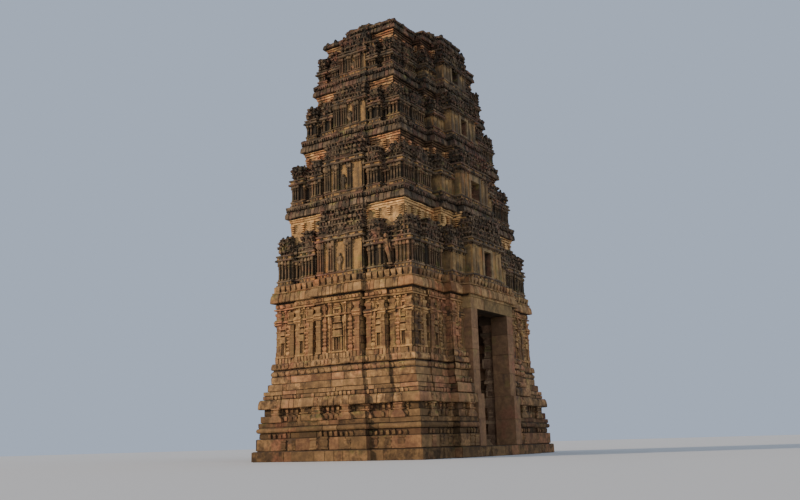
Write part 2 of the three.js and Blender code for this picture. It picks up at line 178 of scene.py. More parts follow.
TIERS = [
    Tier(1, 9.6, 9.85, 10.85, (6.125, 4.045), (5.755, 3.5), 4.65, (0.365, 8.65, 9.9)),
    Tier(2, 13.5, 13.75, 14.55, (5.755, 3.5), (5.14, 3.02), 4.15, (0.465, 12.7, 13.65)),
    Tier(3, 16.85, 17.05, 17.75, (5.14, 3.02), (4.805, 2.475), 3.65, (0.31, 16.3, 17.15)),
    Tier(4, 19.55, 19.75, 20.55, (4.805, 2.475), (4.235, 2.205), 3.25, (0.315, 19.3, 20.15)),
]


# Surfaces worked out as arrays.


def lattice(points, seed):
    """Smooth noise from -1 to 1: a hashed value at each corner of a unit cell, blended between."""
    cell = np.floor(points).astype(np.int64)
    share = points - cell
    share = share * share * (3 - 2 * share)
    total = np.zeros(len(points))
    for corner in np.ndindex(2, 2, 2):
        key = (cell + corner) * np.array([73856093, 19349663, 83492791])
        mixed = key[:, 0] ^ key[:, 1] ^ key[:, 2] ^ (seed * 2654435761)
        mixed = (mixed ^ (mixed >> 13)) * 1274126177
        value = ((mixed ^ (mixed >> 16)) & 0xFFFF) / 32767.5 - 1
        total += value * np.prod(np.where(corner, share, 1 - share), axis=1)
    return total


def weathered(points, size, amount, seed):
    """Moves each point by smooth noise of the given grain size, up to the given amount."""
    moves = [lattice(points / size, seed + axis) for axis in range(3)]
    return points + amount * np.stack(moves, axis=1)


class Surface:
    """Gathers the points and faces of many small forms, and makes them one mesh."""

    def __init__(self, seed):
        self.rng = np.random.default_rng(seed)
        self.points = []
        self.tones = []
        self.hollows = []
        self.faces = {}
        self.count = 0

    def add(self, points, faces, tones, hollow):
        """Adds forms: points, faces as arrays with one row for each face, tones, and how deep
        each point lies in a hollow, from nought to one."""
        for face in faces:
            self.faces.setdefault(face.shape[1], []).append(face + self.count)
        self.points.append(points.reshape(-1, 3))
        self.tones.append(tones)
        self.hollows.append(hollow)
        self.count += len(self.points[-1])

    def set_out(self, form, places, height, size, tone=(0.3, 0.7), tilt=0.0, reach=0.0, shade_and_dirt=1.0,
                vary=0.05):
        """Sets copies of a form on their places: x of the form goes along, y outwards and z up.

        Size is broad, deep and high. Each copy leans a little by tilt and differs a little in size by vary,
        and keeps a share of the form's hollow values, which the finish paints as shade and grime."""
        points, faces, hollow = form
        flat, along, out = places
        count = len(flat)
        if not count:
            return
        size = np.asarray(size) * self.rng.uniform(1 - vary, 1 + vary, (count, 1))
        lean = self.rng.normal(0, tilt, count) if tilt else np.zeros(count)
        local = points[None] * size[:, None, :]
        side = local[:, :, 0] + lean[:, None] * local[:, :, 2]
        spot = flat[:, None, :] + side[..., None] * along[:, None, :]
        spot = spot + (local[:, :, 1] + reach)[..., None] * out[:, None, :]
        world = np.concatenate([spot, (local[:, :, 2] + height)[..., None]], axis=2)
        tones = np.repeat(self.rng.uniform(*tone, count), len(points))
        self.add(world, copied(faces, count, len(points)), tones, np.tile(hollow * shade_and_dirt, count))

    def row(self, edges, form, spacing, inset, height, size, reach, missing, tilt=0.0, shade_and_dirt=1.0,
            vary=0.05, tone=(0, 1)):
        """Sets a form in an even row along each edge, from inset to inset, at this height and reach.
        Missing is the share left out, which swells and falls in waves."""
        for edge in edges:
            distance = spaced(edge, spacing, inset)
            if missing and len(distance):
                wave = 1 + np.sin(GAP_WAVE * distance + self.rng.uniform(0, 2 * math.pi))
                distance = distance[self.rng.random(len(distance)) > missing * wave]
            self.set_out(form, places_on(edge, distance), height, size, tone, tilt, reach, shade_and_dirt, vary)

    def cut_stones(self, edges, reach, stone, missing, recess, shade_and_grime):
        """Cuts each edge into stones of uneven length. A row for each stone holds where it begins and ends,
        the mitre at both, its edge's start, direction and outward way, and how much painted shade and grime
        it carries."""
        rows = []
        for edge in edges:
            first, last = edge["mitre"]
            clear = edge["length"] + (first + last) * reach
            if clear < SHORTEST_COURSE:
                continue
            count = max(1, round(clear / stone))
            widths = self.rng.uniform(0.7, 1.3, count)
            cuts = np.concatenate([[0], np.cumsum(widths) / widths.sum()]) * edge["length"]
            dark = max(shade_and_grime, edge["shade"] * recess)
            for i in range(count):
                if missing and count > 2 and self.rng.random() < missing:
                    continue
                ends = (first if i == 0 else 0, last if i == count - 1 else 0)
                way = (*edge["start"], *edge["along"], *edge["out"])
                rows.append([cuts[i], cuts[i + 1], *ends, *way, dark])
        return np.array(rows)

    def course(self, edges, profile, stone, proud=0.008, joint=0.008, missing=0.0, recess=0.0,
               shade_and_grime=0.0):
        """Lays one course of stones along the edges.

        Each stone is the profile, a loop of (outward, height), carried along the edge over four sections, the
        outer two drawn in as a chamfer, or over two in a low course. The ends at a corner follow the mitre,
        so every point there moves along the edge by its own outward reach. Stone is a stone's length, proud
        how unevenly the stones stand out while their backs stay where they are, and the last two say how much
        painted shade the stones get where their edge lies in a recess, and how much painted shade and grime
        they get all over."""
        outward, height = np.array(profile, dtype=float).T
        rows = self.cut_stones(edges, outward.max(), stone, missing, recess, shade_and_grime)
        if not len(rows):
            return
        count, around = len(rows), len(outward)
        begin, end, first, last = rows[:, 0:4].T
        start, along, out, dark = rows[:, 4:6], rows[:, 6:8], rows[:, 8:10], rows[:, 10]
        chamfered = np.ptp(height) > CHAMFERED_FROM
        kept = [0, 1, 2, 3] if chamfered else [0, 3]

        def sections(*values):
            """A stone's values at its sections, from those at all four."""
            return np.stack(values, axis=1)[:, kept]

        chamfer = np.minimum(CHAMFER, 0.2 * (end - begin)) * chamfered
        plain = np.zeros(count)
        open_start, open_end = first == 0, last == 0
        begin = begin + joint / 2 * open_start
        end = end - joint / 2 * open_end
        distance = sections(begin, begin + chamfer, end - chamfer, end)
        mitre = sections(-first, -first, last, last)
        drawn = sections(chamfer * open_start, plain, plain, chamfer * open_end)
        jitter = self.rng.normal(0, proud, count)
        shown = outward > outward.min() + 1e-6
        proud_of = outward + shown * (jitter[:, None, None] - drawn[:, :, None])
        distance = distance[:, :, None] + mitre[:, :, None] * outward
        flat = start[:, None, None, :] + distance[..., None] * along[:, None, None, :]
        flat = flat + proud_of[..., None] * out[:, None, None, :]
        height = np.broadcast_to(height, flat.shape[:3])
        world = np.concatenate([flat, height[..., None]], axis=3)
        faces = copied(ring_faces(len(kept), around), count, len(kept) * around)

        # The back of a stone lies deep in the joint, its edges almost as deep and its ends half. The finish
        # darkens these hollow values as grime in the joints and as painted shade.
        across = np.zeros(around)
        across[[0, -1]] = 1.0
        if around > 4:
            across[[1, -2]] = 0.85
        ends = 0.5 * chamfered * sections(open_start, plain, plain, open_end)
        hollow = np.maximum(np.maximum(ends[:, :, None], across), dark[:, None, None])
        tones = np.repeat(self.rng.uniform(0, 1, count), len(kept) * around)
        self.add(world, faces, tones, hollow.ravel())

    def build(self, name, look, slot, grain, wear):
        """Makes the mesh object, with its finish, its points worn by smooth noise of the given
        grain, which differs with the length of the name, and the attributes that the finish reads:
        tone, hollow, and how far up a face looks."""
        points = weathered(np.concatenate(self.points), grain, wear, len(name))
        blocks = [np.concatenate(group) for group in self.faces.values()]
        totals = np.concatenate([np.full(len(block), block.shape[1]) for block in blocks])
        corners = np.concatenate([block.ravel() for block in blocks])
        mesh = bpy.data.meshes.new(name)
        mesh.vertices.add(len(points))
        mesh.vertices.foreach_set("co", points.ravel())
        mesh.loops.add(len(corners))
        mesh.loops.foreach_set("vertex_index", corners)
        mesh.polygons.add(len(totals))
        mesh.polygons.foreach_set("loop_start", np.concatenate([[0], np.cumsum(totals)[:-1]]))
        mesh.update(calc_edges=True)
        mesh.validate()
        mesh.shade_smooth()
        mesh.set_sharp_from_angle(angle=SHARP_ANGLE)
        normals = np.empty(3 * len(points))
        mesh.vertex_normals.foreach_get("vector", normals)
        kept = {"tone": self.tones, "hollow": self.hollows, "ledge": [normals[2::3]]}
        for key, values in kept.items():
            mesh.attributes.new(key, "FLOAT", "POINT").data.foreach_set("value", np.concatenate(values))
        mesh.materials.append(LOOKS[look])
        piece = bpy.data.objects.new(name, mesh)
        bpy.context.scene.collection.objects.link(piece)
        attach(piece, "root")


def copied(faces, count, points):
    """The faces of as many copies of a form, each copy counted on by its number of points."""
    shift = (np.arange(count) * points)[:, None, None]
    return [(face[None] + shift).reshape(-1, face.shape[1]) for face in faces]


def ring_faces(rings, around):
    """Quads between rings of points, each ring closed on itself, then a cap at either end."""
    row, column = np.meshgrid(np.arange(rings - 1), np.arange(around), indexing="ij")
    here = (row * around + column).ravel()
    beside = (row * around + (column + 1) % around).ravel()
    sides = np.stack([here, here + around, beside + around, beside], axis=1)
    foot = np.arange(around)[None, :]
    head = np.arange(around)[::-1][None, :] + (rings - 1) * around
    return [sides, np.concatenate([foot, head])]


def square_stack(levels, depth):
    """A square pillar on a wall, with a ring of four points at each height.

    Each level is a half width and an outward reach, then the heights at which they hold. The
    sides run straight from one height to the next, and depth is how far it goes into the wall."""
    rings = [(half, reach, height) for half, reach, *heights in levels for height in heights]
    half, reach, height = np.array(rings).T
    back = np.full_like(half, -depth)
    ring = [
        np.stack([-half, back, height], axis=1),
        np.stack([half, back, height], axis=1),
        np.stack([half, reach, height], axis=1),
        np.stack([-half, reach, height], axis=1),
    ]
    points = np.stack(ring, axis=1).reshape(-1, 3)
    return points, ring_faces(len(rings), 4), sunk(points)


def sunk(points):
    """How deep each point of a form in relief lies: one at the wall, nought where it stands out."""
    return np.clip(1.15 - points[:, 1] / points[:, 1].max(), 0, 1)


def arch_medallion(around):
    """A horseshoe gable: rings round its middle rise to a boss, sink, rise to a rim and drop back.

    The outline is a circle, flattened at the foot and drawn out to a tip at the top. A small one
    of few points has fewer rings. Each ring is (share of the radius, reach)."""
    angle = np.arange(around) * 2 * math.pi / around
    outline = 0.5 * (1 + 0.16 * np.maximum(0, np.sin(angle)) ** 6 - 0.2 * np.maximum(0, -np.sin(angle)))
    rings = [(0.18, 0.34), (0.5, 0.24), (0.62, 0.08), (0.88, 0.3), (1.0, 0.26), (1.0, -0.15)]
    if around < 10:
        rings = [(0.3, 0.34), (0.6, 0.1), (0.92, 0.3), (1.0, -0.15)]
    radii, reach = np.array(rings).T
    x = radii[:, None] * outline * np.cos(angle)
    z = radii[:, None] * outline * np.sin(angle) + 0.42
    y = np.broadcast_to(reach[:, None], x.shape)
    points = np.stack([x, y, z], axis=2).reshape(-1, 3)
    return points, ring_faces(len(radii), around), sunk(points)


def places_on(edge, distance):
    """Points at the given distances along an edge, with the edge's direction and outward way."""
    count = len(distance)
    flat = edge["start"] + np.asarray(distance)[:, None] * edge["along"]
    return flat, np.tile(edge["along"], (count, 1)), np.tile(edge["out"], (count, 1))


def edges_of(outline):
    """Edges of a closed outline that runs anticlockwise, as dictionaries.

    Each has its start, length, direction and outward way, as mitre +1 or -1 for an outer or inner
    corner at both its ends, and as shade how dark it lies between inner corners."""
    outline = np.asarray(outline, dtype=float)
    step = np.roll(outline, -1, axis=0) - outline
    length = np.linalg.norm(step, axis=1)
    keep = length > 1e-4
    outline, step, length = outline[keep], step[keep], length[keep]
    along = step / length[:, None]
    before = np.roll(along, 1, axis=0)
    corner = np.sign(before[:, 0] * along[:, 1] - before[:, 1] * along[:, 0])
    after = np.roll(corner, -1)
    return [
        {
            "start": outline[i], "length": length[i], "along": along[i],
            "out": np.array([along[i][1], -along[i][0]]), "mitre": (corner[i], after[i]),
            "shade": CORNER_SHADE * (max(0, -corner[i]) + max(0, -after[i])),
        }
        for i in range(len(outline))
    ]


# Sections of the courses, as loops of (outward, height) that start at the back of the foot.


def plain_section(foot, head, out, depth=STONE_BED):
    """A flat band with its two edges chamfered, or plain in a low band."""
    if head - foot < BEVELLED_FROM:
        return [(-depth, foot), (out, foot), (out, head), (-depth, head)]
    cut = min(0.014, (head - foot) / 5)
    foot, head = foot + 0.004, head - 0.004
    front = [(out - cut, foot), (out, foot + cut), (out, head - cut), (out - cut, head)]
    return [(-depth, foot), *front, (-depth, head)]


def round_section(foot, head, out):
    """A half-round band: a half ellipse bulges out between foot and head, in six steps."""
    angle = np.linspace(-math.pi / 2, math.pi / 2, 7)
    bulge = (head - foot) * 0.42
    middle = (foot + head) / 2
    front = [(out - bulge + bulge * math.cos(a), middle + (head - foot) / 2 * math.sin(a)) for a in angle]
    return [(-STONE_BED, foot), *front, (-STONE_BED, head)]


def drip_section(foot, head, tip, back, depth=STONE_BED, steps=5):
    """An overhanging band: a hanging lip, then a quarter ellipse that curves up and back."""
    angle = np.linspace(0, math.pi / 2, steps + 1)
    lip = foot + 0.2 * (head - foot)
    under = [(-depth, foot + 0.05), (back, foot + 0.05), (tip - 0.05, foot), (tip, foot + 0.03)]
    front = [(back + (tip - back) * math.cos(a), lip + (head - lip) * math.sin(a)) for a in angle[1:]]
    return [*under, *front, (-depth, head)]


def stepped_outline(corners):
    """A closed outline from the corners of one quarter, mirrored across both middle planes."""
    quarter = np.asarray(corners, dtype=float)
    return np.concatenate([
        quarter[::-1], quarter * [-1, 1], quarter[::-1] * [-1, -1], quarter * [1, -1],
    ])


# A quarter of the base, where its bays touch, of the cornice, which also steps out over the
# doorway, and of the wall, with a recess between the bays.
CLOSED_QUARTER = [
    (LONG_INNER[0], INNER_Y), (LONG_INNER[0], WALL_Y), (WALL_X, WALL_Y),
    (WALL_X, SHORT_MIDDLE[0]), (MIDDLE_X, SHORT_MIDDLE[0]),
]
CORNICE_QUARTER = [(LONG_PORTAL[0], PORTAL_Y), (LONG_PORTAL[0], INNER_Y), *CLOSED_QUARTER]
BACK_X, BACK_Y = WALL_X - RECESS, WALL_Y - RECESS
SECOND_X, SECOND_Y = WALL_X + SHORT_SECOND[2], WALL_Y + LONG_SECOND[2]
RECESSED_QUARTER = [
    (LONG_INNER[0], INNER_Y), (LONG_INNER[0], BACK_Y),
    (LONG_SECOND[0], BACK_Y), (LONG_SECOND[0], SECOND_Y),
    (LONG_SECOND[1], SECOND_Y), (LONG_SECOND[1], BACK_Y),
    (LONG_CORNER, BACK_Y), (LONG_CORNER, WALL_Y), (WALL_X, WALL_Y),
    (WALL_X, SHORT_CORNER), (BACK_X, SHORT_CORNER),
    (BACK_X, SHORT_SECOND[1]), (SECOND_X, SHORT_SECOND[1]),
    (SECOND_X, SHORT_SECOND[0]), (BACK_X, SHORT_SECOND[0]),
    (BACK_X, SHORT_MIDDLE[0]), (MIDDLE_X, SHORT_MIDDLE[0]),
]


def rectangle(x0, x1, y0, y1):
    """A rectangle's outline, anticlockwise."""
    return np.array([(x0, y0), (x1, y0), (x1, y1), (x0, y1)])


def between(side, first, second):
    """Two distances from the middle, on one side of the tower, in rising order."""
    return sorted((side * first, side * second))


def off_the_doorway(quarter, clear):
    """The edges of a stepped outline, with the stretch across the doorway taken out of the two
    faces that it is in. Clear is half the width of that stretch."""
    kept = []
    for edge in edges_of(stepped_outline(quarter)):
        middle = edge["start"] + edge["along"] * edge["length"] / 2
        if abs(middle[0]) > 0.01 or abs(edge["out"][1]) < 0.5:
            kept.append(edge)
            continue
        side = edge["length"] / 2 - clear
        if side > 0.02:
            near = dict(edge, length=side, mitre=(edge["mitre"][0], 0))
            start = edge["start"] + edge["along"] * (edge["length"] - side)
            kept += [near, dict(near, start=start, mitre=(0, edge["mitre"][1]))]
    return kept


def spaced(edge, spacing, inset):
    """Even distances along an edge, as near to the spacing as its length allows."""
    free = edge["length"] - 2 * inset
    if free < 0:
        return np.array([])
    if free < 0.6 * spacing:
        return np.array([edge["length"] / 2])
    return inset + np.linspace(0, 1, max(1, round(free / spacing)) + 1) * free


# Forms of the carved work, one metre high before they are set out. Their half widths and reaches
# are shares of the width and depth that they are set out with.


def pilaster_form():
    """A square pilaster: foot, panelled shaft with bands, a broad cushion of thin slabs, and a corbel."""
    return square_stack([
        (0.5, 1.2, 0.0, 0.04), (0.44, 0.95, 0.045, 0.14), (0.41, 0.85, 0.145, 0.26),
        (0.45, 0.98, 0.265, 0.29), (0.41, 0.85, 0.295, 0.43), (0.45, 0.98, 0.435, 0.46),
        (0.41, 0.85, 0.47, 0.54), (0.4, 0.75, 0.55), (0.5, 1.1, 0.58), (0.4, 0.75, 0.61), (0.42, 0.85, 0.7),
        (0.69, 1.18, 0.72, 0.735), (0.71, 1.6, 0.74, 0.765), (0.69, 1.18, 0.77, 0.79),
        (0.73, 1.7, 0.795, 0.825), (0.69, 1.18, 0.83, 0.852), (0.42, 0.85, 0.865, 0.93),
        (0.6, 1.2, 0.96, 1.0),
    ], 0.3)


def colonnette_form():
    """A slender engaged column: foot, plain shaft, two thin rings, abacus and corbel."""
    return square_stack([
        (0.6, 1.2, 0.0, 0.06), (0.4, 0.95, 0.07), (0.38, 0.9, 0.6), (0.54, 1.15, 0.63), (0.36, 0.8, 0.66),
        (0.6, 1.25, 0.74), (0.36, 0.7, 0.78), (0.75, 1.5, 0.86, 0.9), (0.62, 1.3, 1.0),
    ], 0.5)


def strip_form():
    """A broad flat pilaster with a thin foot and a small capital."""
    return square_stack([
        (0.5, 1.0, 0.0, 0.05), (0.44, 0.7, 0.06, 0.84), (0.52, 1.2, 0.86, 0.9), (0.42, 0.7, 0.92),
        (0.5, 1.3, 0.98, 1.0),
    ], 0.5)


def post_form():
    """A small worn post: foot, waist, and a body that swells to the head."""
    return square_stack([(0.46, 1.0, 0.0), (0.32, 0.6, 0.15), (0.42, 1.1, 0.72), (0.46, 1.0, 1.0)], 0.3)


def knob_form():
    """A worn knob: a low block with its head drawn in."""
    return square_stack([(0.44, 0.7, 0.0), (0.48, 1.0, 0.6), (0.26, 0.4, 1.0)], 0.3)


def upright_form():
    """An upright carved block of a frieze: foot, body that swells at the head, and a small cap."""
    return square_stack([
        (0.46, 0.8, 0.0, 0.12), (0.34, 0.4, 0.18), (0.4, 0.9, 0.4), (0.44, 1.1, 0.66), (0.3, 0.5, 0.78),
        (0.46, 1.0, 0.86, 1.0),
    ], 0.3)


def wedge_form():
    """A bell-shaped block that narrows upwards to a short shaft with a cap, as under a pilaster."""
    return square_stack([
        (0.5, 1.0, 0.0, 0.2), (0.46, 0.95, 0.22), (0.4, 0.9, 0.34), (0.26, 0.8, 0.48), (0.24, 0.75, 0.54),
        (0.34, 0.95, 0.56, 0.64), (0.22, 0.7, 0.67, 0.88), (0.32, 1.0, 0.92, 1.0),
    ], 0.3)


def bars_form():
    """A bracket head of four short bars with gaps between them."""
    return square_stack([
        (0.2, 0.3, 0.0), (0.42, 0.8, 0.04, 0.14), (0.24, 0.3, 0.17, 0.25), (0.5, 1.0, 0.28, 0.38),
        (0.24, 0.3, 0.41, 0.49), (0.5, 1.0, 0.52, 0.62), (0.24, 0.3, 0.65, 0.73), (0.5, 1.2, 0.76, 1.0),
    ], 0.3)


def vase_form():
    """A column that grows out of a vase in curling bulges, up to a broad cap."""
    return square_stack([
        (0.5, 1.0, 0.0, 0.04), (0.28, 0.6, 0.05), (0.5, 1.1, 0.12), (0.44, 1.0, 0.17), (0.2, 0.4, 0.2),
        (0.4, 0.9, 0.24), (0.22, 0.4, 0.3), (0.38, 0.9, 0.34), (0.24, 0.5, 0.39), (0.42, 0.95, 0.44),
        (0.2, 0.4, 0.49), (0.38, 0.8, 0.54), (0.18, 0.4, 0.58), (0.55, 1.2, 0.63, 0.66), (0.26, 0.5, 0.68),
        (0.4, 0.9, 0.76), (0.2, 0.4, 0.8), (0.46, 1.1, 0.86), (0.3, 0.6, 0.94, 1.0),
    ], 0.3)


def joined_forms(parts):
    """One form from square stacks, each with its middle and its levels."""
    points, sides, caps, count = [], [], [], 0
    for middle, levels in parts:
        stack, faces, _ = square_stack(levels, 0.3)
        points.append(stack + [middle, 0, 0])
        sides.append(faces[0] + count)
        caps.append(faces[1] + count)
        count += len(stack)
    points = np.concatenate(points)
    return points, [np.concatenate(sides), np.concatenate(caps)], sunk(points)


def figure_form():
    """A worn standing form in relief: block feet, hips, waist, chest, arms and a smooth head."""
    return joined_forms([
        (0.0, [
            (0.4, 0.8, 0.0, 0.06), (0.22, 0.6, 0.07), (0.2, 0.7, 0.3), (0.3, 1.0, 0.46), (0.2, 0.7, 0.56),
            (0.32, 1.0, 0.72), (0.3, 0.8, 0.78), (0.1, 0.5, 0.8), (0.16, 0.9, 0.84), (0.17, 0.9, 0.9),
            (0.08, 0.5, 0.96),
        ]),
        (-0.42, [(0.07, 0.4, 0.4), (0.09, 0.7, 0.55), (0.08, 0.5, 0.76)]),
        (0.42, [(0.07, 0.4, 0.4), (0.09, 0.7, 0.6), (0.08, 0.5, 0.76)]),
    ])


def shrine_form():
    """A small shrine in relief: step, two jambs, two shafts between them, a plain slab over them
    and three shrinking stages."""
    jamb, shaft = [(0.08, 0.9, 0.08, 0.4)], [(0.07, 0.5, 0.08, 0.38)]
    return joined_forms([
        (0.0, [(0.55, 1.1, 0.0, 0.04), (0.45, 0.8, 0.05, 0.08)]),
        (-0.4, jamb), (0.4, jamb), (-0.14, shaft), (0.14, shaft),
        (0.0, [
            (0.56, 1.3, 0.41), (0.52, 1.2, 0.44), (0.46, 1.0, 0.45, 0.58), (0.34, 0.3, 0.6, 0.62),
            (0.5, 1.15, 0.63), (0.44, 0.9, 0.66), (0.4, 0.85, 0.74), (0.3, 0.3, 0.76, 0.78),
            (0.44, 1.1, 0.79), (0.32, 0.8, 0.82), (0.28, 0.7, 0.9), (0.38, 1.0, 0.92), (0.2, 0.7, 0.97),
            (0.1, 0.3, 1.0),
        ]),
    ])


# The wires of a material.


class Wire:
    """A value inside a material. Plus, minus and times with a number or a wire add their nodes."""

    def __init__(self, board, socket):
        self.board = board
        self.socket = socket

    def math(self, operation, first, second):
        """Adds a node that works one value out of two."""
        return self.board.node("ShaderNodeMath", {"operation": operation}, {0: first, 1: second})

    def __add__(self, other):
        return self.math("ADD", self, other)

    def __sub__(self, other):
        return self.math("SUBTRACT", self, other)

    def __rsub__(self, other):
        return self.math("SUBTRACT", other, self)

    def __mul__(self, other):
        return self.math("MULTIPLY", self, other)

    __radd__ = __add__
    __rmul__ = __mul__


class Board:
    """The nodes of one material."""

    def __init__(self, name):
        self.material = bpy.data.materials.new(name)
        self.material.use_nodes = True
        self.tree = self.material.node_tree
        self.shader = self.tree.nodes["Principled BSDF"]

    def plug(self, socket, value):
        """Links a wire to a socket, or sets the socket's own value."""
        if isinstance(value, Wire):
            self.tree.links.new(value.socket, socket)
        elif isinstance(value, (tuple, list)) and len(value) == 3 and socket.type == "RGBA":
            socket.default_value = (*value, 1.0)
        else:
            socket.default_value = value

    def node(self, kind, settings, values, output=0):
        """Adds a node: its settings are made first, then the values or links of its sockets."""
        made = self.tree.nodes.new(kind)
        for key, value in settings.items():
            setattr(made, key, value)
        for key, value in values.items():
            self.plug(made.inputs[key], value)
        return Wire(self, made.outputs[output])

    def ramp(self, value, low, high):
        """Nought at low, one at high, and smooth between."""
        return self.node(
            "ShaderNodeMapRange", {"interpolation_type": "SMOOTHSTEP"},
            {"Value": value, "From Min": low, "From Max": high},
        )

    def blend(self, share, first, second):
        """The first colour where the share is nought, the second where it is one."""
        return self.node("ShaderNodeMix", {"data_type": "RGBA"}, {0: share, 6: first, 7: second}, 2)

    def shade(self, colour, amount):
        """A colour made darker or lighter by a number."""
        grey = self.node("ShaderNodeCombineColor", {}, {0: amount, 1: amount, 2: amount})
        settings = {"data_type": "RGBA", "blend_type": "MULTIPLY"}
        return self.node("ShaderNodeMix", settings, {0: 1.0, 6: colour, 7: grey}, 2)

    def place(self, stretch=(1, 1, 1)):
        """Object coordinates, stretched."""
        here = self.node("ShaderNodeTexCoord", {}, {}, 3)
        return self.node("ShaderNodeMapping", {}, {"Vector": here, "Scale": stretch})

    def kept(self, name):
        """The number that the mesh keeps under this name at each point."""
        return self.node("ShaderNodeAttribute", {"attribute_name": name}, {}, 2)

    def cloud(self, scale, detail, stretch=(1, 1, 1), roughness=0.55):
        """Fractal noise over the object."""
        values = {"Vector": self.place(stretch), "Scale": scale, "Detail": detail, "Roughness": roughness}
        return self.node("ShaderNodeTexNoise", {}, values)

    def finish(self, colour, roughness, relief, strength, distance):
        """Joins colour, roughness and relief to the shader."""
        bump = self.node("ShaderNodeBump", {}, {"Height": relief, "Strength": strength, "Distance": distance})
        for key, value in (("Base Color", colour), ("Roughness", roughness), ("Normal", bump)):
            self.plug(self.shader.inputs[key], value)
        self.shader.inputs["Specular IOR Level"].default_value = 0.2
        return self.material


# Colours that all masonry shares: lichen, and what its palest stones have more than the others.
LICHEN = (0.26, 0.23, 0.06)
PALE_STONE = (0.085, 0.05, 0.024)


def masonry_look(name, light, dark, patch, crust, patched, crusted, laid=1.0, shaded_foot=False):
    """Weathered masonry: two clouded tones, warm patches, dark crust in streaks and on ledges that grows with
    height, lichen, painted shade and grime in the hollows, and, where asked, a foot darkened by painted
    shadow.

    Laid says how much the stones differ from each other, from nought on a plain face to one."""
    board = Board(name)
    broad = board.cloud(0.45, 3.0)
    middle = board.cloud(2.6, 6.0)
    mottled = board.ramp(board.cloud(6.0, 3.0, roughness=0.6), 0.32, 0.68)
    fine = board.cloud(17.0, 8.0, roughness=0.7)
    grit = board.cloud(60.0, 4.0)
    streaks = board.cloud(2.2, 5.0, (1, 1, 0.14))
    colour = board.blend(board.ramp(middle, 0.36, 0.64), dark, light)
    warm = board.ramp(broad + 0.45 * middle, 0.9 - 0.35 * patched, 1.06 - 0.35 * patched)
    colour = board.blend(warm, colour, patch)
    height = board.node("ShaderNodeSeparateXYZ", {}, {0: board.place()}, 2)
    ledge = board.kept("ledge")
    age = board.ramp(height, 8.0, 21.0)
    crusting = board.ramp(
        streaks + 0.35 * fine + 0.22 * ledge + 0.21 * age, 0.88 - 0.4 * crusted, 1.05 - 0.3 * crusted)
    colour = board.blend(crusting * 0.85, colour, crust)
    lichen = board.ramp(board.cloud(1.4, 6.0) + 0.2 * ledge, 0.6, 0.78)
    colour = board.blend(lichen * 0.45, colour, LICHEN)
    mottling = 0.2 + 0.44 * laid
    colour = board.shade(colour, 0.7 - mottling / 2 + 0.6 * fine + mottling * mottled)
    if laid:
        tone, hollow = board.kept("tone"), board.kept("hollow")
        hue = board.node("ShaderNodeMath", {"operation": "FRACT"}, {0: 7.3 * tone})
        pale = tuple(0.62 * part + share for part, share in zip(light, PALE_STONE))
        colour = board.blend(board.ramp(hue, 0.55, 0.8) * (0.5 * laid), colour, pale)
        colour = board.blend(board.ramp(hue, 0.3, 0.12) * (0.4 * laid), colour, patch)
        colour = board.shade(colour, 0.9 - 0.32 * laid + 0.64 * laid * tone)
        # Painted shade and grime: points deep in hollows, joints and recesses are darkened towards the
        # crust's colour.
        hollow_shade_and_grime = board.ramp(hollow + 0.5 * middle, 0.45, 1.25)
        colour = board.blend(hollow_shade_and_grime * 0.9, colour, tuple(0.35 * part for part in crust))
    # Painted shadow: the foot of the base is darker up to about three and a half metres.
    if shaded_foot:
        colour = board.shade(colour, 0.6 + 0.4 * board.ramp(height + 1.6 * middle, 2.6, 3.7))
    relief = 0.5 * middle + 0.35 * fine + 0.15 * grit
    return board.finish(colour, 0.78 + 0.2 * fine, relief, 0.9, 0.05)
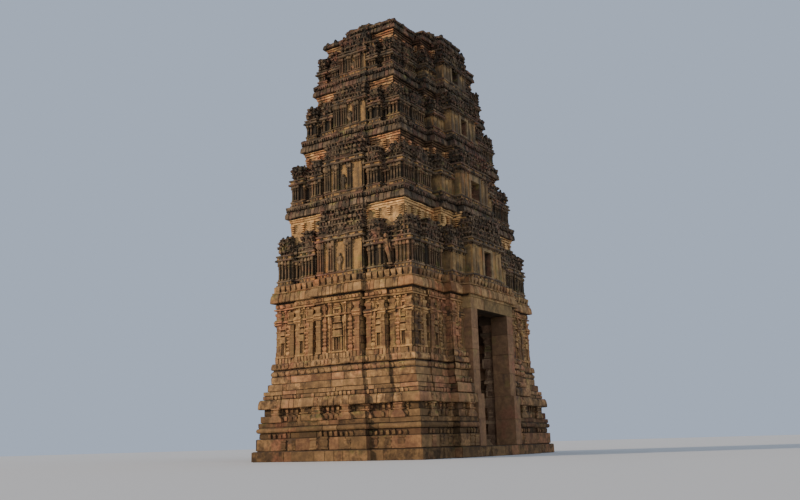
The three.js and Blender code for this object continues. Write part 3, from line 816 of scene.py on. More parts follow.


# Finishes, by key. Each holds the material's name, its light and dark tone, warm patches and crust, how much
# of it is patched and crusted, how much its stones differ, and whether its foot is darkened by painted
# shadow.
FINISHES = {
    "joint": (
        "dirt in the joints", (0.1, 0.06, 0.032), (0.05, 0.031, 0.018), (0.11, 0.045, 0.022),
        (0.03, 0.02, 0.013), 0.3, 0.2, 0.0),
    "sandstone": (
        "wall sandstone", (0.46, 0.262, 0.1), (0.195, 0.1, 0.045), (0.38, 0.16, 0.078),
        (0.05, 0.033, 0.023), 0.44, 0.32),
    "base": (
        "base sandstone", (0.36, 0.205, 0.085), (0.155, 0.088, 0.042), (0.33, 0.142, 0.072),
        (0.05, 0.034, 0.024), 0.42, 0.34, 1.0, True),
    "cornice": (
        "cornice sandstone", (0.37, 0.215, 0.088), (0.2, 0.112, 0.052), (0.34, 0.14, 0.058),
        (0.06, 0.042, 0.03), 0.28, 0.34),
    "jamb": (
        "dressed door stone", (0.29, 0.162, 0.078), (0.225, 0.122, 0.063), (0.28, 0.125, 0.068),
        (0.1, 0.06, 0.045), 0.45, 0.25, 0.25),
    "lintel": (
        "pale lintel stone", (0.37, 0.235, 0.095), (0.18, 0.11, 0.05), (0.33, 0.17, 0.075),
        (0.08, 0.055, 0.035), 0.3, 0.34),
    "passage": (
        "passage stone", (0.48, 0.315, 0.185), (0.3, 0.195, 0.115), (0.38, 0.19, 0.11),
        (0.08, 0.06, 0.042), 0.3, 0.25),
    "render": (
        "stained lime render", (0.37, 0.21, 0.075), (0.24, 0.14, 0.06), (0.4, 0.18, 0.06),
        (0.07, 0.05, 0.03), 0.35, 0.35, 0.0),
    "panel": (
        "plastered panels", (0.35, 0.215, 0.086), (0.185, 0.118, 0.055), (0.35, 0.175, 0.075),
        (0.06, 0.045, 0.03), 0.32, 0.46, 0.35),
    "plaster": (
        "plastered columns", (0.26, 0.165, 0.082), (0.108, 0.073, 0.042), (0.25, 0.112, 0.055),
        (0.042, 0.033, 0.022), 0.38, 0.54, 0.75),
    "strip": (
        "bare plaster", (0.7, 0.42, 0.17), (0.46, 0.26, 0.11), (0.6, 0.26, 0.09),
        (0.12, 0.08, 0.045), 0.35, 0.16),
    "crust": (
        "blackened carving", (0.2, 0.133, 0.076), (0.07, 0.051, 0.033), (0.24, 0.105, 0.063),
        (0.034, 0.028, 0.02), 0.36, 0.52, 0.8),
    "brick": (
        "bare brickwork", (0.68, 0.385, 0.16), (0.42, 0.19, 0.088), (0.56, 0.215, 0.095),
        (0.07, 0.048, 0.03), 0.4, 0.36),
    "rubble": (
        "weathered loose brick", (0.34, 0.21, 0.105), (0.19, 0.115, 0.06), (0.33, 0.15, 0.07),
        (0.06, 0.045, 0.03), 0.35, 0.5, 0.7),
    "lining": (
        "red window plaster", (0.2, 0.1, 0.055), (0.115, 0.06, 0.036), (0.21, 0.088, 0.055),
        (0.04, 0.028, 0.021), 0.4, 0.42, 0.0),
    "frame": (
        "window stone", (0.3, 0.2, 0.095), (0.18, 0.12, 0.06), (0.28, 0.14, 0.065),
        (0.06, 0.045, 0.03), 0.3, 0.5, 0.0),
}

# The finishes once they are made, by key.
LOOKS = {}

# The finish of the frame's own pieces, by material slot. Most of them only show in the joints.
SLOT_LOOKS = {
    "sandstone": "joint", "jamb": "jamb", "lintel": "lintel", "passage": "passage",
    "render": "render", "eave": "joint", "brick": "joint", "frame": "frame",
}


# The stone storey.


def beside_door(edges):
    """The edges of the two bays that flank each doorway."""
    return [edge for edge in edges if abs(edge["start"][1]) > WALL_Y + 0.3 and abs(edge["out"][1]) > 0.5]


def base_courses(seed):
    """Courses of the moulded base, each with its own section."""
    surface = Surface(seed)
    low, high = (off_the_doorway(quarter, JAMB_OUTER) for quarter in (CLOSED_QUARTER, RECESSED_QUARTER))
    ground = edges_of(stepped_outline(CLOSED_QUARTER))
    surface.course(ground, plain_section(0.0, 0.45, 0.84), 0.85, 0.012)
    surface.course(low, plain_section(PLINTH_TOP + 0.02, 1.03, 0.705), 0.8, 0.012)
    # Painted shadow: the darker bands here sit in grooves and under overhangs, and the upper courses carry
    # painted shade in the recesses between the bays.
    surface.course(low, plain_section(1.05, 1.3, 0.595), 0.6, shade_and_grime=0.6)
    surface.course(low, round_section(1.31, 1.54, 0.71), 1.2, 0.012)
    surface.course(low, plain_section(1.57, 1.78, 0.65), 1.0, 0.012)
    surface.course(low, plain_section(1.79, 2.1, 0.56), 0.8, shade_and_grime=0.35)
    surface.course(low, plain_section(2.1, 2.4, 0.43), 1.0, shade_and_grime=0.6)
    surface.course(low, drip_section(2.4, 2.83, 0.66, 0.56), 0.4, joint=0.018)
    surface.course(high, plain_section(2.85, 3.02, 0.475), 0.4, shade_and_grime=0.5)
    surface.course(high, plain_section(3.03, 3.22, 0.465), 0.7, recess=1.0, shade_and_grime=0.2)
    surface.course(high, plain_section(3.24, 3.56, 0.335), 1.0, 0.012, recess=1.0)
    surface.course(high, plain_section(3.58, 3.9, 0.21), 1.1, 0.012, recess=1.0)
    surface.course(high, round_section(3.93, 4.17, 0.235), 0.5, 0.015, recess=1.0)
    surface.course(high, plain_section(4.18, 4.25, 0.13), 0.8, shade_and_grime=1.0)
    surface.course(high, drip_section(4.24, 4.54, 0.23, 0.17), 0.6, 0.015, recess=1.0)
    surface.course(high, plain_section(4.55, WALL_FOOT, 0.09), 0.4, recess=1.0, shade_and_grime=0.3)
    for section in (
        drip_section(2.86, 3.3, 0.58, 0.5), round_section(3.31, 3.62, 0.44),
        plain_section(3.62, 3.92, 0.3), round_section(3.93, 4.2, 0.4),
        drip_section(4.24, 4.5, 0.36, 0.26), round_section(4.5, WALL_FOOT, 0.3),
    ):
        surface.course(beside_door(high), section, 0.5, 0.012)
    return surface


def base_carving(seed):
    """Rows of uprights, medallions, wedges, knobs and posts on the base."""
    surface = Surface(seed)
    clear = JAMB_OUTER + 0.08
    low, high = (off_the_doorway(quarter, clear) for quarter in (CLOSED_QUARTER, RECESSED_QUARTER))
    upright, knob, medallion, wedge = upright_form(), knob_form(), arch_medallion(10), wedge_form()
    surface.row(low, upright, 0.3, 0.1, 2.1, (0.16, 0.09, 0.33), 0.41, 0.06)
    surface.row(low, medallion, 1.9, 0.4, 2.46, (0.28, 0.12, 0.32), 0.62, 0.15)
    surface.row(low, wedge, 1.25, 0.45, 1.78, (0.72, 0.2, 0.62), 0.5, 0.05, shade_and_dirt=0.5, tone=(0.7, 1))
    surface.row(low, knob, 0.3, 0.1, 1.84, (0.18, 0.07, 0.22), 0.54, 0.25)
    surface.row(low, knob, 0.3, 0.1, 1.07, (0.16, 0.1, 0.22), 0.58, 0.2, vary=0.2)
    surface.row(low, upright, 0.62, 0.3, 0.52, (0.4, 0.05, 0.48), 0.69, 0.25, shade_and_dirt=0.6, vary=0.15)
    surface.row(high, knob, 0.24, 0.1, 2.85, (0.17, 0.06, 0.18), 0.46, 0.25, vary=0.15)
    surface.row(high, knob, 0.4, 0.1, 3.95, (0.24, 0.05, 0.2), 0.22, 0.3, vary=0.15)
    surface.row(high, knob, 0.22, 0.08, 4.3, (0.15, 0.07, 0.2), 0.2, 0.15, shade_and_dirt=0.8, vary=0.15)
    surface.row(high, post_form(), 0.2, 0.06, 4.55, (0.16, 0.05, 0.25), 0.08, 0.2, shade_and_dirt=0.5, vary=0.15)
    for foot, reach in ((3.36, 0.42), (3.98, 0.38), (4.54, 0.28)):
        surface.row(beside_door(high), knob, 0.26, 0.12, foot, (0.18, 0.06, 0.2), reach, 0.2, vary=0.15)
    return surface


def wall_courses(seed):
    """Courses of the pilastered wall, and three thin ledges along its bays."""
    surface = Surface(seed)
    edges = off_the_doorway(RECESSED_QUARTER, JAMB_OUTER)
    for foot, head in pairwise(np.linspace(WALL_FOOT, WALL_TOP, 9)):
        # Painted shade on the backs and returns of the recesses between the bays; every course is also a
        # little darker all over.
        surface.course(edges, plain_section(foot, head, 0.035), 0.7, recess=1.0, shade_and_grime=0.4)
    bays = [edge for edge in edges if edge["shade"] < CORNER_SHADE or edge["length"] > SHORTEST_BAY]
    for foot, head, reach, stone in (
        (6.5, LEDGE_TOP, 0.14, 0.7), (7.12, 7.19, 0.14, 0.7), (7.22, 7.42, 0.08, 0.5),
    ):
        surface.course(bays, plain_section(foot, head, reach), stone)
    return surface


def wall_bay(surface, edge):
    """The carving of one bay of the wall: pilasters at its ends, a vase column on the inner side
    and a shrine towards the corner. A broad bay has a vase on both sides of a shrine."""
    length = edge["length"]
    ends = np.array([0.145, length - 0.145])
    broad = length > BROAD_BAY
    if broad:
        vases, shrines = np.array([0.5, length - 0.5]), np.array([length / 2])
        thin = length / 2 + np.array([-0.46, -0.36, 0.36, 0.46])
    else:
        vases, shrines = np.array([0.36 * length]), np.array([0.64 * length])
        thin = np.array([0.25, 0.48, 0.78]) * length
        if (edge["start"] + edge["along"] * length / 2) @ edge["along"] < 0:
            vases, shrines, thin = length - vases, length - shrines, length - thin
    width = 0.56 if broad else 0.3
    for form, distance, foot, size in (
        (pilaster_form(), ends, WALL_FOOT, (0.3, 0.1, 2.15)),
        (vase_form(), vases, WALL_FOOT, (0.24, 0.1, 1.7)),
        (colonnette_form(), thin, WALL_FOOT, (0.07, 0.07, 1.66)),
        (shrine_form(), shrines, WALL_FOOT, (width, 0.1, 1.7)),
        (figure_form(), vases, LEDGE_TOP, (0.24, 0.08, 0.52)),
        (colonnette_form(), thin, LEDGE_TOP, (0.07, 0.07, 0.52)),
        (shrine_form(), shrines, LEDGE_TOP, (0.8 * width, 0.08, 0.52)),
    ):
        surface.set_out(form, places_on(edge, distance), foot, size, (0.2, 1), 0.01, 0.03, 0.85, 0.03)


def wall_carving(seed):
    """Pilasters, vase columns and shrines in all bays of the wall, and a small frieze."""
    surface = Surface(seed)
    edges = off_the_doorway(RECESSED_QUARTER, JAMB_OUTER)
    bays = [edge for edge in edges if edge["length"] > SHORTEST_BAY]
    for edge in bays:
        wall_bay(surface, edge)
    surface.row(bays, knob_form(), 0.2, 0.07, 7.24, (0.15, 0.06, 0.16), 0.06, 0.15)
    return surface


def cornice_courses(seed):
    """The stone cornice: an overhanging band of ribbed stones and a carved frieze above it."""
    surface = Surface(seed)
    edges = edges_of(stepped_outline(CORNICE_QUARTER))
    # Painted shadow: the course under the overhanging band is darkened.
    surface.course(edges, plain_section(7.4, WALL_TOP, 0.06), 0.6, shade_and_grime=0.9)
    surface.course(edges, drip_section(7.48, 7.94, 0.27, 0.14), 0.28, joint=0.016)
    surface.course(edges, plain_section(7.94, 7.99, 0.2), 0.8)
    surface.course(edges, plain_section(7.99, STONE_TOP, 0.13), 0.45, shade_and_grime=0.3)
    surface.row(edges, post_form(), 0.34, 0.16, 7.99, (0.29, 0.1, 0.31), 0.13, 0.04)
    return surface


def blackened(height):
    """How much darker the passage stones and the inner faces of the jambs are at a height: nought where the
    darkening starts, one at the ceiling. On the jambs it is painted shade under the lintel.
    """
    return np.clip((height - DARKENING_FROM) / (HALL_CEILING - DARKENING_FROM), 0, 1)


def doorway_stones(seed):
    """Jambs of tall stones, deeper at the foot, with painted shade on their inner faces that deepens upwards
    under the lintel, and two lintel courses, front and back."""
    rng = np.random.default_rng(seed)
    jambs, lintels = Surface(rng), Surface(rng)
    for side_y in (-1, 1):
        for foot, head in pairwise([PLINTH_TOP, 1.7, JAMB_STEP, 3.95, 4.9, 5.9, DOOR_HEAD]):
            front = JAMB_FOOT_FRONT if head <= JAMB_STEP else JAMB_FRONT
            for side_x in (-1, 1):
                jamb = rectangle(*between(side_x, DOOR_HALF, JAMB_OUTER), *between(side_y, JAMB_BACK, front))
                edges = edges_of(jamb)
                for edge in edges:
                    # Painted shade under the lintel on the inner face of each jamb.
                    edge["shade"] = float(edge["out"][0] * side_x < -0.5)
                section = plain_section(foot, head, 0.014, 0.1)
                jambs.course(edges, section, 3.0, 0.004, recess=0.85 * blackened(foot))
        edges = edges_of(rectangle(-JAMB_OUTER, JAMB_OUTER, *between(side_y, JAMB_BACK, JAMB_FRONT)))
        half_depth = (JAMB_FRONT - JAMB_BACK) / 2
        lintels.course(edges, plain_section(DOOR_HEAD - 0.016, 7.38, 0.03, half_depth), 1.5)
        lintels.course(edges, plain_section(7.38, WALL_TOP, 0.05, 0.1), 1.2)
    return jambs, lintels


def pier_form():
    """A pier of the passage, in metres: moulded foot, plain shafts between broad blocks, and a
    capital that widens to the ceiling."""
    points, faces, hollow = square_stack([
        (0.43, 0.9, 0.0, 0.3), (0.38, 0.84, 0.36, 0.5), (0.32, 0.74, 0.56, 1.0), (0.37, 0.84, 1.06, 1.2),
        (0.3, 0.72, 1.26, 1.8), (0.4, 0.88, 1.86, 2.3), (0.3, 0.72, 2.36, 3.0), (0.36, 0.82, 3.06, 3.2),
        (0.3, 0.72, 3.26, 3.8), (0.4, 0.88, 3.86, 4.3), (0.3, 0.72, 4.36, 5.1), (0.36, 0.8, 5.2),
        (0.3, 0.72, 5.3), (0.42, 0.88, 5.5), (0.44, 0.92, 5.6), (0.36, 0.8, 5.7), (0.4, 0.86, 5.95),
        (0.45, 0.95, 6.1, 6.5),
    ], 0.05)
    return points, faces, np.maximum(hollow, blackened(points[:, 2] + PLINTH_TOP))


# Carving on each pier: form, foot, width and height.
PIER_CARVING = [
    (figure_form(), 1.5, 0.4, 0.8), (upright_form(), 2.36, 0.44, 0.4),
    (shrine_form(), 2.85, 0.44, 0.65), (figure_form(), 3.75, 0.36, 0.55),
    (upright_form(), 4.36, 0.44, 0.4), (shrine_form(), 4.85, 0.44, 0.7),
]


def passage_stones(seed):
    """Wall courses of the hall in the passage and its four carved piers, darker towards the ceiling."""
    surface = Surface(seed)
    hall = rectangle(-HALL_HALF, HALL_HALF, -JAMB_BACK, JAMB_BACK)[::-1]
    edges = [edge for edge in edges_of(hall) if abs(edge["out"][0]) > 0.5]
    for foot, head in pairwise(np.linspace(PLINTH_TOP, HALL_CEILING, 15)):
        surface.course(edges, plain_section(foot, head, 0.02, 0.1), 0.8, 0.01, shade_and_grime=blackened(foot))
    for side in (-1.0, 1.0):
        for end in (-1, 1):
            flat = np.array([[side * HALL_HALF, end * (JAMB_BACK - PIER_INSET)]])
            place = flat, np.array([[0.0, -side]]), np.array([[-side, 0.0]])
            surface.set_out(pier_form(), place, PLINTH_TOP, PIER_SIZE, vary=0.0)
            for (points, faces, hollow), foot, width, height in PIER_CARVING:
                darkened = points, faces, np.maximum(hollow, blackened(foot))
                surface.set_out(darkened, place, foot, (width, 0.12, height), (0.4, 1), reach=PIER_FACE)
    return surface


# The brick tiers.


def bay(area, kind, heights, sides, columns="close"):
    """One pavilion of a tier: its rectangle, roof, heights, the ways its open sides look and how
    its columns stand: close together, grouped, or as broad strips on a plain wall."""
    wall_top, roof_foot, roof_top = heights
    return {
        "area": (*area[0], *area[1]), "kind": kind, "wall_top": wall_top, "roof_foot": roof_foot,
        "roof_top": roof_top, "sides": sides, "columns": columns,
    }


def bays_of(tier):
    """All pavilions of a tier. At each corner stand a domed one, a narrow one on either face, and
    a low link on the short face. Wide ones stand in the middle of the faces."""
    px, py = tier.plane_x, tier.plane_y
    back_x, back_y = tier.core_x - RECESS, tier.core_y - RECESS
    low = (tier.wall_top, tier.roof_foot, tier.roof_top)
    sunk_low = (tier.wall_top - LINK_DROP, tier.roof_foot - LINK_DROP, tier.roof_top - LINK_ROOF_DROP)
    tall = (tier.wall_top + TALL_BAY_EXTRA, tier.roof_foot + TALL_BAY_EXTRA, tier.eave_foot)
    corner_x, corner_y = TIER_LONG["corner"] * px, TIER_SHORT["corner"] * py
    second_x = TIER_LONG["second_from"] * px, TIER_LONG["second_to"] * px
    second_y = TIER_SHORT["second_from"] * py, TIER_SHORT["second_to"] * py
    made = []
    for sx in (-1, 1):
        for sy in (-1, 1):
            corner = between(sx, corner_x, px), between(sy, corner_y, py)
            second = between(sx, *second_x), between(sy, back_y, py + SECOND_PROUD)
            short = between(sx, back_x, px + SHORT_PROUD), between(sy, *second_y)
            link = between(sx, back_x, px - LINK_SETBACK), between(sy, second_y[1], corner_y)
            made += [
                bay(corner, "dome", low, [(sx, 0), (0, sy), (-sx, 0), (0, -sy)]),
                bay(second, "gable", low, [(0, sy), (sx, 0), (-sx, 0)]),
                bay(short, "gable", low, [(sx, 0), (0, sy), (0, -sy)]),
                bay(link, "wagon", sunk_low, [(sx, 0)]),
            ]
    for side in (-1, 1):
        for half, plane, heights in (
            (tier.inner_half, tier.inner_plane, low), (tier.portal_half, tier.portal_plane, tall),
        ):
            wide = (-half, half), between(side, tier.core_y - WIDE_BAY_BED, plane)
            made.append(bay(wide, "wagon", heights, [(0, side), (1, 0), (-1, 0)], "plain"))
        depth = between(side, tier.core_x - WIDE_BAY_BED, px + MIDDLE_PROUD)
        middle = depth, (-tier.middle_half, tier.middle_half)
        made.append(bay(middle, "wagon", tall, [(side, 0), (0, 1), (0, -1)], "grouped"))
    return made


def open_edges(pavilion):
    """The edges of a pavilion's rectangle that look out of the tower."""
    return [
        edge for edge in edges_of(rectangle(*pavilion["area"]))
        if (round(edge["out"][0]), round(edge["out"][1])) in pavilion["sides"]
    ]


def drawn_in(area, out, front, side):
    """A pavilion's rectangle with its front and its two sides drawn in."""
    x0, x1, y0, y1 = area
    if out[0] == 0:
        x0, x1 = x0 + side, x1 - side
        return (x0, x1, y0, y1 - front) if out[1] > 0 else (x0, x1, y0 + front, y1)
    y0, y1 = y0 + side, y1 - side
    return (x0, x1 - front, y0, y1) if out[0] > 0 else (x0 + front, x1, y0, y1)


def storey_bands(surface, edges, foot, head, arches):
    """One band of a layered roof: a necking darkened with painted shade, with small uprights under a broken
    thin ledge, and worn lumps of stucco in front of it, with a row of small gables where arches is true."""
    ledge = head - 0.3 * (head - foot)
    post = (0.1, 0.06, ledge - foot + 0.01)
    surface.course(edges, plain_section(foot, ledge, 0.02, 0.14), 0.7, 0.02, shade_and_grime=0.55)
    surface.row(edges, post_form(), 0.18, 0.05, foot, post, 0.01, 0.08, 0.1, vary=0.25)
    surface.course(edges, drip_section(ledge - 0.01, head, 0.1, 0.05, TIER_BED, 2), 0.32, 0.02, missing=0.1)
    surface.row(edges, knob_form(), 0.27, 0.03, ledge - 0.05, (0.13, 0.1, 0.13), 0.06, 0.5, 0.2, vary=0.4)
    if arches:
        gable = (0.18, 0.12, 0.22)
        surface.row(edges, arch_medallion(8), 0.42, 0.12, ledge - 0.04, gable, 0.08, 0.2, 0.1, vary=0.2)


def domed_roof(surface, pavilion):
    """A corner pavilion's roof: a neck, then three rings of bands that bulge and shrink on all
    four sides, and a small cap. The insets are shares of the half width."""
    x0, x1, y0, y1 = pavilion["area"]
    foot, top = pavilion["roof_foot"], pavilion["roof_top"]
    small = min(x1 - x0, y1 - y0) / 2
    neck = foot + 0.28 * (top - foot)
    cuts = [foot, *(neck + (top - neck) * np.array([0, 0.3, 0.6, 0.85]))]
    for inset, (low, high) in zip(small * np.array([0.2, 0.02, 0.06, 0.3]), pairwise(cuts)):
        ring = rectangle(x0 + inset, x1 - inset, y0 + inset, y1 - inset)
        storey_bands(surface, edges_of(ring), low, high, low > foot)
    reach = np.array([-0.4, 0.4]) / 2
    cap = rectangle(*((x0 + x1) / 2 + reach * (x1 - x0)), *((y0 + y1) / 2 + reach * (y1 - y0)))
    surface.course(edges_of(cap), plain_section(cuts[-1] - 0.05, top + 0.04, 0.0, 0.3 * small), 0.3, 0.03)


def arched_roof(surface, pavilion):
    """A roof of bands that follow a circle: a narrow pavilion's draw in at its two sides, under
    one gable, and a wide pavilion's lean back from its front, with a row of gables."""
    x0, x1, y0, y1 = pavilion["area"]
    foot, height = pavilion["roof_foot"], pavilion["roof_top"] - pavilion["roof_foot"]
    narrow = pavilion["kind"] == "gable"
    out = np.array(pavilion["sides"][0], dtype=float)
    along = np.array([-out[1], out[0]])
    half = np.array([x1 - x0, y1 - y0]) / 2
    half_length, half_depth = half @ abs(along), half @ abs(out)
    span = half_length if narrow else WAGON_HALF_SPAN
    bands = max(2, round(height / ROOF_BAND))
    for low, high in pairwise(foot + height * np.linspace(0, 1, bands + 1)):
        share = min(0.8, (low - foot) / height)
        back = span * (1 - math.sqrt(1 - share ** 2))
        area = drawn_in(pavilion["area"], out, *((0, back) if narrow else (back, 0)))
        storey_bands(surface, open_edges(dict(pavilion, area=area)), low, high, low == foot)
    face = np.array([x0 + x1, y0 + y1]) / 2 + out * half_depth
    if narrow:
        places, size, tilt = (face[None], along[None], out[None]), (1.1 * span, 0.16, 0.6 * height), 0.0
    else:
        edge = {"start": face - along * half_length, "along": along, "out": out, "length": 2 * half_length}
        places, size, tilt = places_on(edge, spaced(edge, 0.8, 0.4)), (0.3, 0.15, 0.38), 0.02
    surface.set_out(arch_medallion(12), places, foot + 0.12, size, (0.1, 0.9), tilt, 0.02, 0.6)


def clear_of_window(edge, distance, clear):
    """The distances along a face that keep clear of the window in its middle."""
    return distance[np.abs((edge["start"] + distance[:, None] * edge["along"])[:, 0]) > clear]


def column_places(edge, columns):
    """Distances along a bay for its colonnettes: in an even row, or in groups of three."""
    if columns == "grouped" and edge["length"] > 1.0:
        middles = np.array([0.05, 0.3, 0.7])[:, None] * edge["length"]
        return (middles + np.array([-0.14, 0, 0.14])).ravel()
    return spaced(edge, 0.19, 0.07)


def pavilion_foot(carving, edges, floor, foot):
    """The moulded foot of a pavilion: a band with a little painted shade, a necking darkened with painted
    shade, with knobs, and a lip.
    """
    carving.course(edges, plain_section(floor, floor + 0.1, 0.09, TIER_BED), 0.6, shade_and_grime=0.3)
    carving.course(edges, plain_section(floor + 0.1, foot - 0.1, 0.03, TIER_BED), 1.5, shade_and_grime=0.9)
    carving.course(edges, drip_section(foot - 0.12, foot, 0.1, 0.05, TIER_BED, 3), 0.5)
    carving.row(edges, knob_form(), 0.2, 0.06, floor + 0.1, (0.11, 0.06, 0.12), 0.03, 0.15)


def pavilion_columns(columns, panels, tier, pavilion, foot):
    """The columns of a pavilion: flat strips clear of the window on a plain wall, or colonnettes of which a
    few are lost, with a band of painted shade behind them where a face is short, and a standing form in the
    middle of a grouped one."""
    high = pavilion["wall_top"] - foot
    for edge in open_edges(pavilion):
        if pavilion["columns"] == "plain":
            distance = clear_of_window(edge, spaced(edge, 0.36, 0.2), tier.window_half + 0.36)
            size = (0.31, 0.04, high - 0.06)
            panels.set_out(strip_form(), places_on(edge, distance), foot, size, (0.2, 0.9), shade_and_dirt=0.3)
            continue
        distance = column_places(edge, pavilion["columns"])
        distance = distance[columns.rng.random(len(distance)) > 0.04]
        size = (0.1, 0.09, high - 0.06)
        columns.set_out(colonnette_form(), places_on(edge, distance), foot, size, (0.1, 1))
        if edge["length"] < 1.4:
            columns.course([edge], plain_section(foot, pavilion["wall_top"], 0.012, 0.1), 5.0, shade_and_grime=1.0)
        elif pavilion["columns"] == "grouped":
            middle = places_on(edge, [0.5 * edge["length"]])
            columns.set_out(figure_form(), middle, foot, (0.32, 0.1, 0.62 * high), (0.4, 0.9), shade_and_dirt=0.8)


def pavilion_eave(carving, edges, top, roof_foot):
    """The small eave of a pavilion: knobs under a lip, a necking darkened with painted shade, a ledge and
    small gables.
    """
    carving.row(edges, knob_form(), 0.18, 0.06, top - 0.1, (0.1, 0.09, 0.11), 0.01, 0.1)
    carving.course(edges, drip_section(top - 0.03, top + 0.1, 0.17, 0.1, TIER_BED, 3), 0.45)
    carving.course(edges, plain_section(top + 0.1, roof_foot - 0.05, 0.04, TIER_BED), 1.5, shade_and_grime=0.9)
    carving.course(edges, plain_section(roof_foot - 0.05, roof_foot + 0.02, 0.13, TIER_BED), 0.6)
    carving.row(edges, arch_medallion(8), 0.5, 0.2, top - 0.02, (0.2, 0.12, 0.24), 0.12, 0.12)


def leaning_figure(columns, tier):
    """The worn form that leans out of the short side, beside the corner pavilion: each point
    moves along and outwards in proportion to its height."""
    gap = 0.5 * (TIER_SHORT["corner"] + TIER_SHORT["second_to"]) * tier.plane_y
    points, faces, hollow = figure_form()
    leaning = points + np.outer(points[:, 2], [-0.55, 0.5, 0.0])
    place = np.array([[0.17 - tier.plane_x, -gap]]), np.array([[0.0, -1.0]]), np.array([[-1.0, 0.0]])
    columns.set_out((leaning, faces, 0.3 * hollow), place, tier.floor + 0.3, (0.36, 0.24, 1.6), (0.44, 0.46))


def wall_behind(columns, tier):
    """What shows between the pavilions: a foot band, a row of small posts and a lip over them."""
    portal = tier.portal_half + 0.01
    behind = [
        edge for edge in edges_of(core_outline(tier))
        if edge["length"] > 1.5 and (abs(edge["out"][1]) < 0.5 or abs(edge["start"][0]) > portal)
    ]
    foot, top = tier.floor + 0.1, tier.wall_top
    columns.course(behind, plain_section(foot, foot + 0.2, 0.08, 0.1), 0.6)
    columns.row(behind, post_form(), 0.26, 0.1, foot + 0.2, (0.1, 0.09, top - foot - 0.3), 0.0, 0.05)
    columns.course(behind, drip_section(top - 0.1, top + 0.1, 0.2, 0.1, TIER_BED, 3), 0.45)


def tier_carving(tier, seed):
    """All pavilions of a tier and the wall behind them, as three surfaces: columns, the plain
    walls' strips, and the blackened mouldings and roofs."""
    rng = np.random.default_rng(seed)
    columns, panels, carving = Surface(rng), Surface(rng), Surface(rng)
    foot = tier.floor + TIER_FOOT
    for pavilion in bays_of(tier):
        edges = open_edges(pavilion)
        pavilion_foot(carving, edges, tier.floor, foot)
        pavilion_columns(columns, panels, tier, pavilion, foot)
        pavilion_eave(carving, edges, pavilion["wall_top"], pavilion["roof_foot"])
        if pavilion["kind"] == "dome":
            domed_roof(carving, pavilion)
        else:
            arched_roof(carving, pavilion)
    if tier is TIERS[0]:
        leaning_figure(columns, tier)
    wall_behind(columns, tier)
    return columns, panels, carving


def eave_outline(tier):
    """Outline of a tier's eave."""
    portal_y = tier.tip_y + tier.portal_plane - tier.plane_y
    inner_y = tier.tip_y + tier.inner_plane - tier.plane_y
    middle_x = tier.tip_x + 0.08
    middle_half = tier.middle_half * tier.tip_x / tier.plane_x
    return stepped_outline([
        (tier.portal_half, portal_y), (tier.portal_half, inner_y),
        (tier.inner_half, inner_y), (tier.inner_half, tier.tip_y),
        (tier.tip_x, tier.tip_y), (tier.tip_x, middle_half), (middle_x, middle_half),
    ])


# Stretches of the last eave that have lost their crest, as (x from, x to, y from, y to).
LOST_CREST = [(-9.0, -3.5, 0.8, 9.0), (-9.0, 9.0, 1.5, 9.0), (0.7, 9.0, -9.0, -2.65)]
CREST_LENGTH = 0.4


def left_standing(edges, lost):
    """The edges cut into short lengths, without those whose middle lies in a lost stretch."""
    kept = []
    for edge in edges:
        count = max(1, round(edge["length"] / CREST_LENGTH))
        part = edge["length"] / count
        for i in range(count):
            start = edge["start"] + edge["along"] * part * i
            x, y = start + edge["along"] * part / 2
            if any(x0 < x < x1 and y0 < y < y1 for x0, x1, y0, y1 in lost):
                continue
            mitre = (edge["mitre"][0] if i == 0 else 0, edge["mitre"][1] if i == count - 1 else 0)
            kept.append(dict(edge, start=start, length=part, mitre=mitre))
    return kept


def eave_courses(tier, seed):
    """A tier's eave: a course under it darkened with painted shadow, a ribbed curved band that hangs to a
    lip, with small gables, then a necking darkened with painted shade, with posts, a thin ledge and loose
    knobs on it, where they are left."""
    surface = Surface(seed)
    edges = edges_of(eave_outline(tier))
    foot, top = tier.eave_foot, tier.eave_top
    curve = foot + 0.62 * (top - foot)
    gable, post, knob = (0.22, 0.14, 0.28), (0.11, 0.06, top - 0.07 - curve), (0.16, 0.1, 0.07)
    surface.course(edges, plain_section(foot - 0.05, foot + 0.02, -0.06), 0.6, shade_and_grime=0.9)
    surface.course(edges, drip_section(foot - 0.02, curve, 0.06, -0.1, steps=3), 0.22, 0.012, 0.022)
    surface.row(edges, arch_medallion(8), 0.66, 0.2, foot + 0.06, gable, 0.0, 0.2, 0.08, vary=0.2)
    crest = left_standing(edges, LOST_CREST if tier is TIERS[-1] else [])
    surface.course(crest, plain_section(curve, top - 0.09, -0.015), 0.5, shade_and_grime=0.8)
    surface.row(crest, post_form(), 0.16, 0.06, curve, post, -0.02, 0.12, 0.06, vary=0.15)
    surface.course(crest, plain_section(top - 0.09, top, 0.03), 0.4, 0.02, missing=0.1)
    surface.row(crest, knob_form(), 0.3, 0.1, top - 0.02, knob, -0.06, 0.6, 0.04, vary=0.3)
    return surface


def core_outline(tier):
    """Outline of the wall behind a tier's pavilions, which steps out over the doorway."""
    step = tier.core_y - tier.plane_y
    portal_y, inner_y = tier.portal_plane + step, tier.inner_plane + step
    return stepped_outline([
        (tier.portal_half, portal_y), (tier.portal_half, inner_y),
        (tier.inner_half, inner_y), (tier.inner_half, tier.core_y), (tier.core_x, tier.core_y),
    ])


